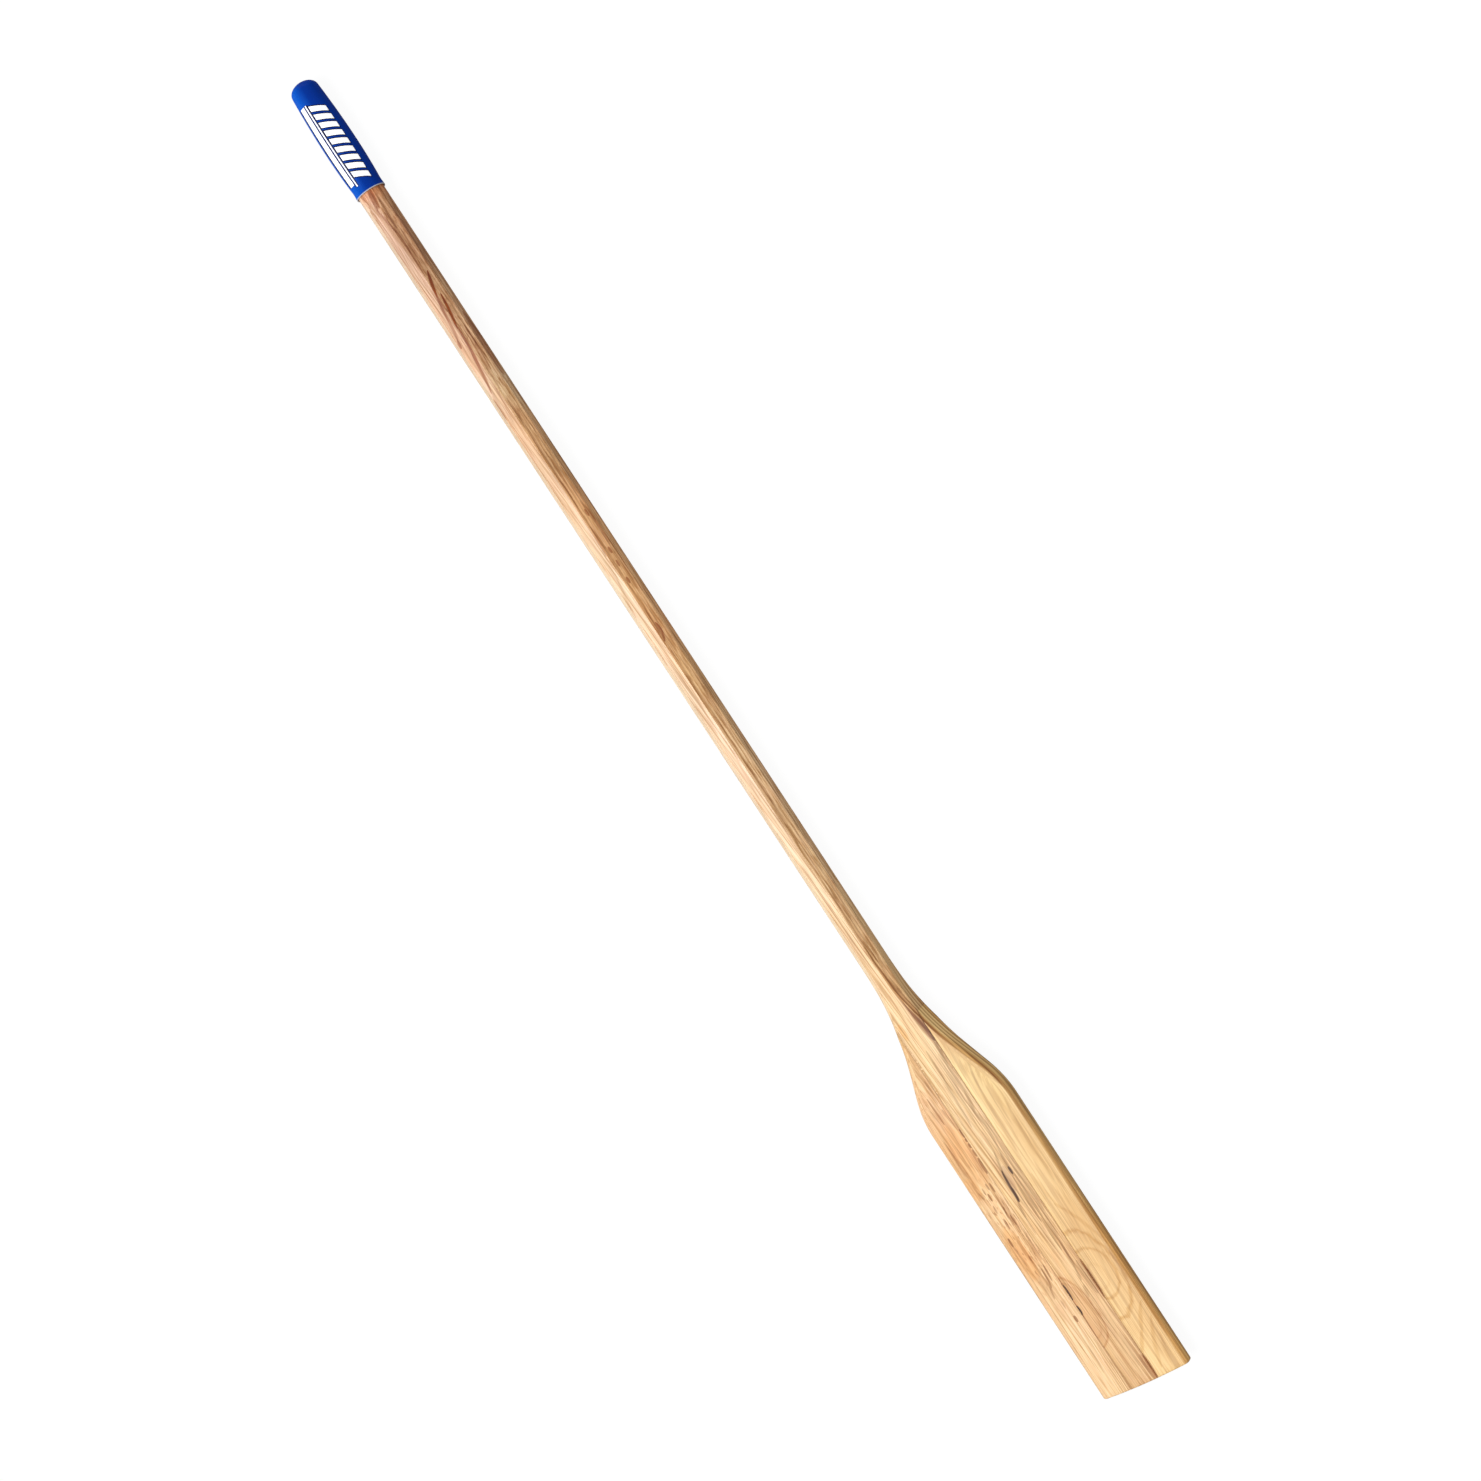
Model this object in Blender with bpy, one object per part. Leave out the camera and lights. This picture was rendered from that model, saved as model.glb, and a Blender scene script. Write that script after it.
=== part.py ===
"""A wooden rowing oar with a slip-on grip, lying with its blade towards +X.

The oar is shaped from three boards glued side by side: the long middle board is
handle, eight-sided loom and middle of the blade, and a short board on each side
makes the blade's wings. A closed-end grip sleeve is pulled over the turned handle.
The oar lies along X, the blade spreads along Y, and the lowest point is at Z = 0.
"""

import math

import bmesh
import bpy

# Overall sizes, in metres and degrees
OAR_LENGTH = 2.134
LOOM_FLATS = 0.0376
LOOM_RIDGE_ROUND = 0.003
BLADE_LENGTH = 0.594
BLADE_WIDTH = 0.146
BLADE_EDGE_THICKNESS = 0.0192
BLADE_EDGE_ROUND = 0.008
BLADE_TIP_SPINE_THICKNESS = 0.030
TIP_CORNER_ROUND = 0.003
MIDDLE_BOARD_WIDTH = 0.0458
GLUE_GAP = 0.0003

# The flare from loom to blade: straight between two long curves
FLARE_ANGLE = 22.5
THROAT_CURVE_REACH = 0.056
SHOULDER_CURVE_REACH = 0.028

# The faces thin towards the blade's edges over this length of the flare
THINNING_LENGTH = 0.135
THINNING_CURVE_REACH = 0.030
SPINE_CURVE_REACH = 0.030

# The loom's four slanted facets run out to a point at the throat
FACET_RUNOUT_BEFORE_FLARE = 0.075
FACET_RUNOUT_AFTER_FLARE = 0.050
FACET_CURVE_REACH = 0.020
EDGE_ROUND_GROWTH_LENGTH = 0.080

# The turned handle under the grip sleeve
HANDLE_LENGTH = 0.168
HANDLE_BELLY_DIAMETER = 0.0446
HANDLE_BELLY_FROM_END = 0.108
HANDLE_END_DIAMETER = 0.0379
ROUND_TO_FACETS_LENGTH = 0.062

# The grip sleeve: its mouth lies a little past the handle's neck
SLEEVE_PAST_NECK = 0.012
SLEEVE_WALL = 0.0016
SLEEVE_END_WALL = 0.003
SLEEVE_DOME_LENGTH = 0.014
SLEEVE_LIP_FLARE = 0.0007
SLEEVE_CLEARANCE = 0.0003

# How the surfaces are divided and shaded
SHARP_EDGE_ANGLE = 35
FACE_STEPS = 3
ROUND_STEPS = 3
DOME_STEPS = 6
BARREL_STEPS = 5
ROUND_TO_FACETS_STEPS = 5
LIP_STEPS = 3
LOOM_STEPS = 8
FLARE_STEPS = 24
BLADE_STEPS = 5
TIP_STEPS = 3

# Points closer than this are one point
SAME_POINT = 0.000001

# Worked out from the sizes above
HANDLE_END_X = -OAR_LENGTH / 2
TIP_X = OAR_LENGTH / 2
FLARE_X = TIP_X - BLADE_LENGTH
LOOM_HALF = LOOM_FLATS / 2
BLADE_HALF = BLADE_WIDTH / 2
EDGE_HALF = BLADE_EDGE_THICKNESS / 2
SHOULDER_X = FLARE_X + (BLADE_HALF - LOOM_HALF) / math.tan(math.radians(FLARE_ANGLE))
EIGHTH_TURN = math.radians(45)
LEG_PER_ROUND = 2 - math.sqrt(2)
TANGENT_PER_ROUND = math.tan(EIGHTH_TURN / 2)
FACET_LEG = LOOM_HALF * LEG_PER_ROUND
RIDGE_RADIUS = (LOOM_HALF - LOOM_RIDGE_ROUND) / math.cos(EIGHTH_TURN / 2) + LOOM_RIDGE_ROUND
DOME_X = HANDLE_END_X + SLEEVE_DOME_LENGTH
BELLY_X = HANDLE_END_X + HANDLE_BELLY_FROM_END
NECK_X = HANDLE_END_X + HANDLE_LENGTH
MOUTH_X = NECK_X + SLEEVE_PAST_NECK
FACETS_X = NECK_X + ROUND_TO_FACETS_LENGTH
AXIS_Z = HANDLE_BELLY_DIAMETER / 2 + SLEEVE_CLEARANCE + SLEEVE_WALL
QUARTER_STEPS = FACE_STEPS + 2 * ROUND_STEPS + 2
RING_POINTS = 4 * QUARTER_STEPS

# Colours as seen on the real object: base colour, roughness
MIDDLE_WOOD = ((0.72, 0.50, 0.28), 0.35)
LEFT_WING_WOOD = ((0.78, 0.50, 0.27), 0.35)
RIGHT_WING_WOOD = ((0.84, 0.61, 0.33), 0.35)
BLUE_VINYL = ((0.005, 0.07, 0.55), 0.3)


def ramp(x, start, end, low, high, first_reach, last_reach):
    """A straight ramp between two levels, with a parabola at each of its ends."""
    slope = (high - low) / (end - start)
    if x <= start - first_reach:
        return low
    if x >= end + last_reach:
        return high
    if x < start + first_reach:
        return low + slope * (x - start + first_reach) ** 2 / (4 * first_reach)
    if x > end - last_reach:
        return high - slope * (end + last_reach - x) ** 2 / (4 * last_reach)
    return low + slope * (x - start)


def half_width(x):
    """Half the oar's width along Y, from the loom out to the blade."""
    return ramp(x, FLARE_X, SHOULDER_X, LOOM_HALF, BLADE_HALF,
                THROAT_CURVE_REACH, SHOULDER_CURVE_REACH)


def edge_half_thickness(x):
    """Half the thickness where a face meets the rounded edge."""
    return ramp(x, FLARE_X, FLARE_X + THINNING_LENGTH, LOOM_HALF, EDGE_HALF,
                THINNING_CURVE_REACH, THINNING_CURVE_REACH)


def spine_half_thickness(x):
    """Half the thickness along the middle of the blade, which thins to the tip."""
    return ramp(x, FLARE_X, TIP_X + SPINE_CURVE_REACH, LOOM_HALF,
                BLADE_TIP_SPINE_THICKNESS / 2, SPINE_CURVE_REACH, SPINE_CURVE_REACH)


def corner_round(x):
    """Radius at the loom's ridges, which grows into that of the blade's edges."""
    growth_start = FLARE_X - EDGE_ROUND_GROWTH_LENGTH / 4
    return ramp(x, growth_start, growth_start + EDGE_ROUND_GROWTH_LENGTH,
                LOOM_RIDGE_ROUND, BLADE_EDGE_ROUND, FACET_CURVE_REACH, FACET_CURVE_REACH)


def facet_leg(x):
    """Leg of the slanted facet: it shrinks until only the rounded edge is left."""
    planed = ramp(x, FLARE_X - FACET_RUNOUT_BEFORE_FLARE, FLARE_X + FACET_RUNOUT_AFTER_FLARE,
                  FACET_LEG, 0.0, FACET_CURVE_REACH, FACET_CURVE_REACH)
    return max(planed, LEG_PER_ROUND * corner_round(x))


def tip_inset(x):
    """How far every side draws in at the tip's rounded corners."""
    depth = max(0.0, x - (TIP_X - TIP_CORNER_ROUND))
    return TIP_CORNER_ROUND - math.sqrt(max(0.0, TIP_CORNER_ROUND ** 2 - depth ** 2))


def handle_radius(x):
    """Radius of the turned handle: a barrel between the domed end and the neck."""
    belly = HANDLE_BELLY_DIAMETER / 2
    if x < BELLY_X:
        drop = belly - HANDLE_END_DIAMETER / 2
        return belly - drop * ((BELLY_X - x) / (BELLY_X - DOME_X)) ** 2
    drop = belly - RIDGE_RADIUS
    return belly - drop * min(1.0, (x - BELLY_X) / (NECK_X - BELLY_X)) ** 2


def arc(centre_y, centre_z, radius, first, last):
    """Points of an arc in a cross-section, from one angle to another."""
    points = []
    for step in range(ROUND_STEPS + 1):
        angle = math.radians(first + (last - first) * step / ROUND_STEPS)
        points.append((centre_y + radius * math.cos(angle),
                       centre_z + radius * math.sin(angle)))
    return points


def mirrored(quarter):
    """A whole ring from the quarter that runs from the top to the +Y side."""
    lower = [(y, -z) for y, z in reversed(quarter[:-1])]
    right = quarter + lower
    left = [(-y, z) for y, z in reversed(right[1:-1])]
    return right + left


def planed_section(x):
    """The eight-sided loom and the blade, as (y, z) points round the axis."""
    inset = tip_inset(x)
    width = half_width(x) - inset
    edge = edge_half_thickness(x) - inset
    crown = spine_half_thickness(x) - edge_half_thickness(x)
    radius = corner_round(x) - inset
    leg = facet_leg(x) - LEG_PER_ROUND * inset
    tangent = TANGENT_PER_ROUND * radius
    face_end = width - leg - tangent
    face = []
    for step in range(FACE_STEPS):
        share = step / FACE_STEPS
        face.append((face_end * share, edge + crown * (1 - share ** 2)))
    upper = arc(face_end, edge - radius, radius, 90, 45)
    lower = arc(width - radius, edge - leg - tangent, radius, 45, 0)
    side = [(width, 0.0)]
    return mirrored(face + upper + lower + side)


def turned_section(radius):
    """A round section with as many points as a planed one."""
    points = []
    for step in range(RING_POINTS):
        angle = 2 * math.pi * step / RING_POINTS
        points.append((radius * math.sin(angle), radius * math.cos(angle)))
    return points


def loom_section(x):
    """Round up to the neck, eight-sided further on, and a smooth change between."""
    if x <= NECK_X:
        return turned_section(handle_radius(x))
    if x >= FACETS_X:
        return planed_section(x)
    share = (x - NECK_X) / (FACETS_X - NECK_X)
    share = share * share * (3 - 2 * share)
    pairs = zip(turned_section(RIDGE_RADIUS), planed_section(x))
    return [(a[0] + (b[0] - a[0]) * share, a[1] + (b[1] - a[1]) * share) for a, b in pairs]


def spread(first, last, steps):
    """Evenly spaced places after the first one, up to the last."""
    return [first + (last - first) * (step + 1) / steps for step in range(steps)]


def dome_rings(axial, radius):
    """Rings of a half ellipsoid from its pole to just before its base."""
    rings = []
    for step in range(DOME_STEPS):
        angle = math.pi / 2 * step / DOME_STEPS
        rings.append((DOME_X - axial * math.cos(angle), turned_section(radius * math.sin(angle))))
    return rings


def barrel_places():
    """Places along the handle's barrel, with one exactly at the belly."""
    places = [DOME_X]
    places += spread(DOME_X, BELLY_X, BARREL_STEPS)
    places += spread(BELLY_X, NECK_X, BARREL_STEPS)
    return places


def blank_rings():
    """Cross-sections of the whole oar as it is shaped from the glued boards."""
    flare_start = FLARE_X - FACET_RUNOUT_BEFORE_FLARE - FACET_CURVE_REACH
    flare_end = max(SHOULDER_X + SHOULDER_CURVE_REACH,
                    FLARE_X + THINNING_LENGTH + THINNING_CURVE_REACH)
    tip_start = TIP_X - TIP_CORNER_ROUND
    places = barrel_places()
    places += spread(NECK_X, FACETS_X, ROUND_TO_FACETS_STEPS)
    places += spread(FACETS_X, flare_start, LOOM_STEPS)
    places += spread(flare_start, flare_end, FLARE_STEPS)
    places += spread(flare_end, tip_start, BLADE_STEPS)
    for step in range(TIP_STEPS):
        angle = math.pi / 2 * (step + 1) / TIP_STEPS
        places.append(tip_start + TIP_CORNER_ROUND * math.sin(angle))
    axial = SLEEVE_DOME_LENGTH - SLEEVE_END_WALL - SLEEVE_CLEARANCE
    rings = dome_rings(axial, handle_radius(DOME_X))
    rings += [(x, loom_section(x)) for x in places]
    return rings


def sleeve_rings():
    """The sleeve's skin: along the outside to the mouth, then back along the inside."""
    bore_offset = SLEEVE_CLEARANCE
    skin_offset = SLEEVE_CLEARANCE + SLEEVE_WALL
    lip_places = spread(NECK_X, MOUTH_X - SLEEVE_WALL / 2, LIP_STEPS)

    def lip_radius(x, offset):
        share = (x - NECK_X) / (MOUTH_X - NECK_X)
        return RIDGE_RADIUS + offset + SLEEVE_LIP_FLARE * share ** 2

    outside = dome_rings(SLEEVE_DOME_LENGTH, handle_radius(DOME_X) + skin_offset)
    outside += [(x, turned_section(handle_radius(x) + skin_offset)) for x in barrel_places()]
    outside += [(x, turned_section(lip_radius(x, skin_offset))) for x in lip_places]
    inside = dome_rings(SLEEVE_DOME_LENGTH - SLEEVE_END_WALL,
                        handle_radius(DOME_X) + bore_offset)
    inside += [(x, turned_section(handle_radius(x) + bore_offset)) for x in barrel_places()]
    inside += [(x, turned_section(lip_radius(x, bore_offset))) for x in lip_places]

    # The mouth's edge is a half round between the two skins
    edge = []
    middle = lip_radius(lip_places[-1], bore_offset + SLEEVE_WALL / 2)
    for step in range(1, 2 * ROUND_STEPS):
        angle = math.pi * step / (2 * ROUND_STEPS)
        edge.append((lip_places[-1] + SLEEVE_WALL / 2 * math.sin(angle),
                     turned_section(middle + SLEEVE_WALL / 2 * math.cos(angle))))
    return outside + edge + inside[::-1]


def lofted_mesh(name, rings):
    """A closed skin through the rings; a ring of no size closes to a point."""
    bm = bmesh.new()
    loops = []
    for x, points in rings:
        loops.append([bm.verts.new((x, y, AXIS_Z + z)) for y, z in points])
    for near, far in zip(loops, loops[1:]):
        for i in range(RING_POINTS):
            j = (i + 1) % RING_POINTS
            bm.faces.new((near[i], near[j], far[j], far[i]))
    bm.faces.new(loops[0])
    bm.faces.new(loops[-1])
    bmesh.ops.remove_doubles(bm, verts=bm.verts, dist=SAME_POINT)
    bmesh.ops.dissolve_degenerate(bm, edges=bm.edges, dist=SAME_POINT / 10)
    bmesh.ops.recalc_face_normals(bm, faces=bm.faces)
    mesh = bpy.data.meshes.new(name)
    bm.to_mesh(mesh)
    bm.free()
    mesh.shade_smooth()
    mesh.set_sharp_from_angle(angle=math.radians(SHARP_EDGE_ANGLE))
    return mesh


def slab(name, low_y, high_y):
    """A plain block over the whole oar's length, used to part the boards."""
    margin = 0.05
    bm = bmesh.new()
    bmesh.ops.create_cube(bm, size=1.0)
    for vert in bm.verts:
        vert.co.x *= OAR_LENGTH + 2 * margin
        vert.co.y = low_y if vert.co.y < 0 else high_y
        vert.co.z = AXIS_Z + vert.co.z * (2 * AXIS_Z + 2 * margin)
    bmesh.ops.recalc_face_normals(bm, faces=bm.faces)
    mesh = bpy.data.meshes.new(name)
    bm.to_mesh(mesh)
    bm.free()
    guide = bpy.data.objects.new(name, mesh)
    guide.hide_render = True
    guide.display_type = 'WIRE'
    bpy.context.collection.objects.link(guide)
    return guide


def finish_material(name, colour, roughness):
    """A plain finish in the part's own colour."""
    material = bpy.data.materials.new(name)
    material.use_nodes = True
    shader = material.node_tree.nodes['Principled BSDF']
    shader.inputs['Base Color'].default_value = (*colour, 1.0)
    shader.inputs['Roughness'].default_value = roughness
    shader.inputs['Metallic'].default_value = 0.0
    return material


def add_part(name, mesh, finish):
    """One named sub-part with its own material."""
    part = bpy.data.objects.new(name, mesh)
    part.data.materials.append(finish_material(name + '_finish', *finish))
    bpy.context.collection.objects.link(part)
    return part


def keep_inside(part, guide):
    """Cut a board out of the shaped blank."""
    cut = part.modifiers.new('board', 'BOOLEAN')
    cut.operation = 'INTERSECT'
    cut.solver = 'EXACT'
    cut.object = guide


def build_boards():
    """Part the shaped blank along its two glue lines into three boards."""
    rings = blank_rings()
    line = MIDDLE_BOARD_WIDTH / 2
    beyond = BLADE_WIDTH
    boards = (
        ('loom_core', -line + GLUE_GAP / 2, line - GLUE_GAP / 2, MIDDLE_WOOD),
        ('blade_wing_left', -beyond, -line - GLUE_GAP / 2, LEFT_WING_WOOD),
        ('blade_wing_right', line + GLUE_GAP / 2, beyond, RIGHT_WING_WOOD),
    )
    for name, low_y, high_y, finish in boards:
        part = add_part(name, lofted_mesh(name, rings), finish)
        keep_inside(part, slab(name + '_guide', low_y, high_y))


def build_sleeve():
    """The closed-end sleeve over the handle."""
    add_part('grip_sleeve', lofted_mesh('grip_sleeve', sleeve_rings()), BLUE_VINYL)


def main():
    for old in list(bpy.data.objects):
        bpy.data.objects.remove(old, do_unlink=True)
    build_boards()
    build_sleeve()


main()
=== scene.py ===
# %% [markdown]
# # A wooden rowing oar
#
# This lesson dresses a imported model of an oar: a long middle board that is handle,
# eight-sided loom and middle of the blade, a board glued on at each side of the blade, and a
# blue vinyl sleeve pushed over the handle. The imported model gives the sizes. The pieces made
# here take its place at the same sizes, with finer surfaces and with varnished wood on them.

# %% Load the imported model
import math
import bmesh
import bpy
from mathutils import Matrix, Vector


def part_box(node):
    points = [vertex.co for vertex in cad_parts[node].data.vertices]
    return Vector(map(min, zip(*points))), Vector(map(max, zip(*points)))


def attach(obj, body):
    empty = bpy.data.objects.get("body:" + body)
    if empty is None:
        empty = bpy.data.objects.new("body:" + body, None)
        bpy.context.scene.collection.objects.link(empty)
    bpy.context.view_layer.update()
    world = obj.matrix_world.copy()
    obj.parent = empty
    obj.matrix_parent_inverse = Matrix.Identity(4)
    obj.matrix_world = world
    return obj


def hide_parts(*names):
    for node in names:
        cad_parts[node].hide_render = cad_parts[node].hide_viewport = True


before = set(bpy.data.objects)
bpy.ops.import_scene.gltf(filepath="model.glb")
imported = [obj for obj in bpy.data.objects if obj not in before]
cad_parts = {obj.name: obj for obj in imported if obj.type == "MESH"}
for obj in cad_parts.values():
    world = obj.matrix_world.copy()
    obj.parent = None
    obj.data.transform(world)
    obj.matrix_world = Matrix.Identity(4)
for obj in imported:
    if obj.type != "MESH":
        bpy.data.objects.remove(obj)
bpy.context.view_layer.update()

# %% [markdown]
# ## Sizes
#
# Places along the oar are in metres along X, from the grip at -X to the blade's tip at +X.
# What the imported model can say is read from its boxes. The rest are the real sizes of the
# loom, the flare and the handle, each written once and used by its name.

# %% Read the main places from the model's boxes
sleeve_low, sleeve_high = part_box("grip_sleeve")
HANDLE_END_X = sleeve_low.x
MOUTH_X = sleeve_high.x
AXIS_Z = (sleeve_low.z + sleeve_high.z) / 2
TIP_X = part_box("loom_core")[1].x
CORE_EDGE_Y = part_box("loom_core")[1].y
WING_EDGE_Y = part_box("blade_wing_right")[0].y
BLADE_WIDTH = 2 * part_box("blade_wing_right")[1].y
print(f"oar {1000 * (TIP_X - HANDLE_END_X):.0f} mm long, blade {1000 * BLADE_WIDTH:.0f} mm wide")

# %% The sizes of the handle and the sleeve
HANDLE_LENGTH = 0.168
HANDLE_END_RADIUS = 0.01895
HANDLE_BELLY_RADIUS = 0.0223
HANDLE_BELLY_FROM_END = 0.108
ROUND_TO_FACETS_LENGTH = 0.062
SLEEVE_WALL = 0.0016
SLEEVE_END_WALL = 0.003
SLEEVE_DOME_LENGTH = 0.014
SLEEVE_CLEARANCE = 0.0003
SLEEVE_LIP_FLARE = 0.0007
DOME_X = HANDLE_END_X + SLEEVE_DOME_LENGTH
BELLY_X = HANDLE_END_X + HANDLE_BELLY_FROM_END
NECK_X = HANDLE_END_X + HANDLE_LENGTH
FACETS_X = NECK_X + ROUND_TO_FACETS_LENGTH
print(f"the handle is {2000 * HANDLE_BELLY_RADIUS:.1f} mm thick at its belly, at {BELLY_X:.3f} m")

# %% The sizes of the loom and the blade
LOOM_HALF = 0.0188
RIDGE_ROUND = 0.003
BLADE_LENGTH = 0.594
BLADE_HALF = BLADE_WIDTH / 2
BLADE_EDGE_HALF = 0.0096
BLADE_EDGE_ROUND = 0.008
TIP_SPINE_HALF = 0.015
TIP_ROUND = 0.003
FLARE_ANGLE = 22.5
FLARE_X = TIP_X - BLADE_LENGTH
FLARE_LENGTH = (BLADE_HALF - LOOM_HALF) / math.tan(math.radians(FLARE_ANGLE))
EIGHTH_TURN = math.radians(45)
LEG_PER_ROUND = 2 - math.sqrt(2)
TANGENT_PER_ROUND = math.tan(EIGHTH_TURN / 2)
NECK_RADIUS = (LOOM_HALF - RIDGE_ROUND) / math.cos(EIGHTH_TURN / 2) + RIDGE_ROUND
print(f"the flare runs from {FLARE_X:.3f} m to {FLARE_X + FLARE_LENGTH:.3f} m")

# %% Where the section changes round the throat, and how softly
THROAT_CURVE_REACH = 0.056
SHOULDER_CURVE_REACH = 0.028
THINNING_LENGTH = 0.135
THINNING_CURVE_REACH = 0.030
SPINE_CURVE_REACH = 0.030
FACET_RUNOUT_BEFORE_FLARE = 0.075
FACET_RUNOUT_AFTER_FLARE = 0.050
FACET_CURVE_REACH = 0.020
EDGE_ROUND_BEFORE_FLARE = 0.020
EDGE_ROUND_GROWTH_LENGTH = 0.080
print(f"the slanted facets run out {1000 * FACET_RUNOUT_AFTER_FLARE:.0f} mm past the flare's start")

# %% [markdown]
# ## Camera
#
# The oar is seen from above and a little from its right side, and it lies across the picture
# from the upper left to the lower right. Two angles say all of that: the oar's roll towards
# the lens, and its slope in the picture. The camera's three directions follow from them.

# %% Set up the camera
ROLL = math.radians(29)
SLOPE = math.radians(56.8)
CAMERA_DISTANCE = 3.544
AIM_X = 0.0231
AIM_BESIDE_AXIS = 0.0124
along = Vector((1, 0, 0))
across = Vector((0, math.cos(ROLL), -math.sin(ROLL)))
back = Vector((0, math.sin(ROLL), math.cos(ROLL)))
right = along * math.cos(SLOPE) + across * math.sin(SLOPE)
up = across * math.cos(SLOPE) - along * math.sin(SLOPE)
aim = Vector((AIM_X, 0, AXIS_Z)) + across * AIM_BESIDE_AXIS
camera = bpy.data.objects.new("camera", bpy.data.cameras.new("camera"))
camera.data.lens = 62.5
camera.data.sensor_width = 36
camera.matrix_world = (Matrix.Translation(aim + back * CAMERA_DISTANCE)
                       @ Matrix((right, up, back)).transposed().to_4x4())
bpy.context.scene.collection.objects.link(camera)
bpy.context.scene.camera = camera
print("camera at", [round(v, 3) for v in camera.matrix_world.translation])

# %% [markdown]
# ## Writing node trees as sums
#
# Geometry Nodes and materials are both node trees. When nodes are added one by one, the
# formula that they stand for is hard to see. So a small helper wraps an output as a Wire that
# can be added, multiplied and compared like a number, and each sum adds its own Math node.

# %% A wire that can be reckoned with
class Wire:
    """One output of a node, which can be reckoned with like a number."""

    def __init__(self, net, socket):
        self.net = net
        self.socket = socket

    def __add__(self, other):
        return self.net.math("ADD", self, other)

    def __sub__(self, other):
        return self.net.math("SUBTRACT", self, other)

    def __rsub__(self, other):
        return self.net.math("SUBTRACT", other, self)

    def __mul__(self, other):
        return self.net.math("MULTIPLY", self, other)

    def __truediv__(self, other):
        return self.net.math("DIVIDE", self, other)

    def __gt__(self, other):
        return self.net.math("GREATER_THAN", self, other)

    def __abs__(self):
        return self.net.math("ABSOLUTE", self)

    def other(self, name):
        """Another output of the same node."""
        return Wire(self.net, self.socket.node.outputs[name])

# %% A net that adds nodes and joins them
class Net:
    """A node tree that is being written."""

    def __init__(self, tree):
        self.tree = tree

    def add(self, kind, inputs=None, output=0, **settings):
        """Add a node, fill in its inputs and hand back one of its outputs."""
        node = self.tree.nodes.new(kind)
        count = len(self.tree.nodes)
        node.location = (180 * (count % 24), -240 * (count // 24))
        for name, value in settings.items():
            setattr(node, name, value)
        for name, value in (inputs or {}).items():
            self.join(value, node.inputs[name])
        return Wire(self, node.outputs[output]) if len(node.outputs) else None

    def join(self, value, socket):
        """Wire an output to a socket, or write a plain value into the socket."""
        if isinstance(value, Wire):
            self.tree.links.new(value.socket, socket)
        else:
            socket.default_value = value

    def math(self, operation, *values):
        return self.add("ShaderNodeMath", dict(enumerate(values)), operation=operation)

    def share(self, value, start, end, smooth=False):
        """0 at start and 1 at end, held there beyond them."""
        shape = "SMOOTHSTEP" if smooth else "LINEAR"
        return self.add("ShaderNodeMapRange", {0: value, 1: start, 2: end}, interpolation_type=shape)

    def between(self, share, first, last):
        """A number between two others."""
        return self.add("ShaderNodeMix", {0: share, 2: first, 3: last})

    def split(self, vector):
        """The X, Y and Z of a vector."""
        x = self.add("ShaderNodeSeparateXYZ", {0: vector})
        return [Wire(self, output) for output in x.socket.node.outputs]

    def vector(self, x, y, z):
        return self.add("ShaderNodeCombineXYZ", {0: x, 1: y, 2: z})

    def noise(self, x, y, z, scale=1.0, detail=2.0, roughness=0.5):
        """A soft noise, drawn out or squeezed by what each direction is multiplied with."""
        return self.add("ShaderNodeTexNoise", {
            "Vector": self.vector(x, y, z), "Scale": scale, "Detail": detail, "Roughness": roughness})

    def use(self, group, output=0, **inputs):
        """Place a node group, with its inputs given by name."""
        kind = "GeometryNodeGroup" if group.bl_idname == "GeometryNodeTree" else "ShaderNodeGroup"
        node = self.tree.nodes.new(kind)
        node.node_tree = group
        for name, value in inputs.items():
            self.join(value, node.inputs[name])
        return Wire(self, node.outputs[output])

# %% Node groups with named sockets
def new_group(name, kind, inputs, outputs):
    """An empty group, as a net, and its inputs as wires. A number gives a socket its value."""
    tree = bpy.data.node_groups.new(name, kind)
    for socket, value in inputs.items():
        form = {float: "Float", int: "Int"}.get(type(value), value)
        made = tree.interface.new_socket(socket, in_out="INPUT", socket_type="NodeSocket" + form)
        if form != value:
            made.default_value = value
    for socket, form in outputs.items():
        tree.interface.new_socket(socket, in_out="OUTPUT", socket_type="NodeSocket" + form)
    source = tree.nodes.new("NodeGroupInput")
    net = Net(tree)
    return net, {socket: Wire(net, source.outputs[socket]) for socket in inputs}


def close_group(net, results):
    """Wire the results to the group's outputs."""
    sink = net.tree.nodes.new("NodeGroupOutput")
    for name, wire in results.items():
        net.join(wire, sink.inputs[name])
    print(f"{net.tree.name}: {len(net.tree.nodes)} nodes")
    return net.tree

# %% [markdown]
# ## How each shape's tree ends
#
# Planed wood and moulded vinyl are never quite even, and a little unevenness is what breaks
# up a highlight. It could be bump in the material, but the mesh is also used on its own, so
# each tree pushes its points in and out a trifle. Then it makes its copies real, because an
# export drops instances, and gives the shape its material.

# %% Uneven surfaces and finished shapes
SAME_POINT = 0.00001


def uneven(net, shape, noise, depth):
    """A smooth shape, pushed along its normals by up to a depth each way."""
    push = net.add("ShaderNodeVectorMath", {
        0: net.add("GeometryNodeInputNormal"), 3: (noise - 0.5) * depth * 2}, operation="SCALE")
    pushed = net.add("GeometryNodeSetPosition", {"Geometry": shape, "Offset": push})
    return net.add("GeometryNodeSetShadeSmooth", {"Geometry": pushed})


def finished(net, shape, material):
    """A shape with its copies made real and its material on it."""
    whole = net.add("GeometryNodeRealizeInstances", {"Geometry": shape})
    return net.add("GeometryNodeSetMaterial", {"Geometry": whole, "Material": material})

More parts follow.
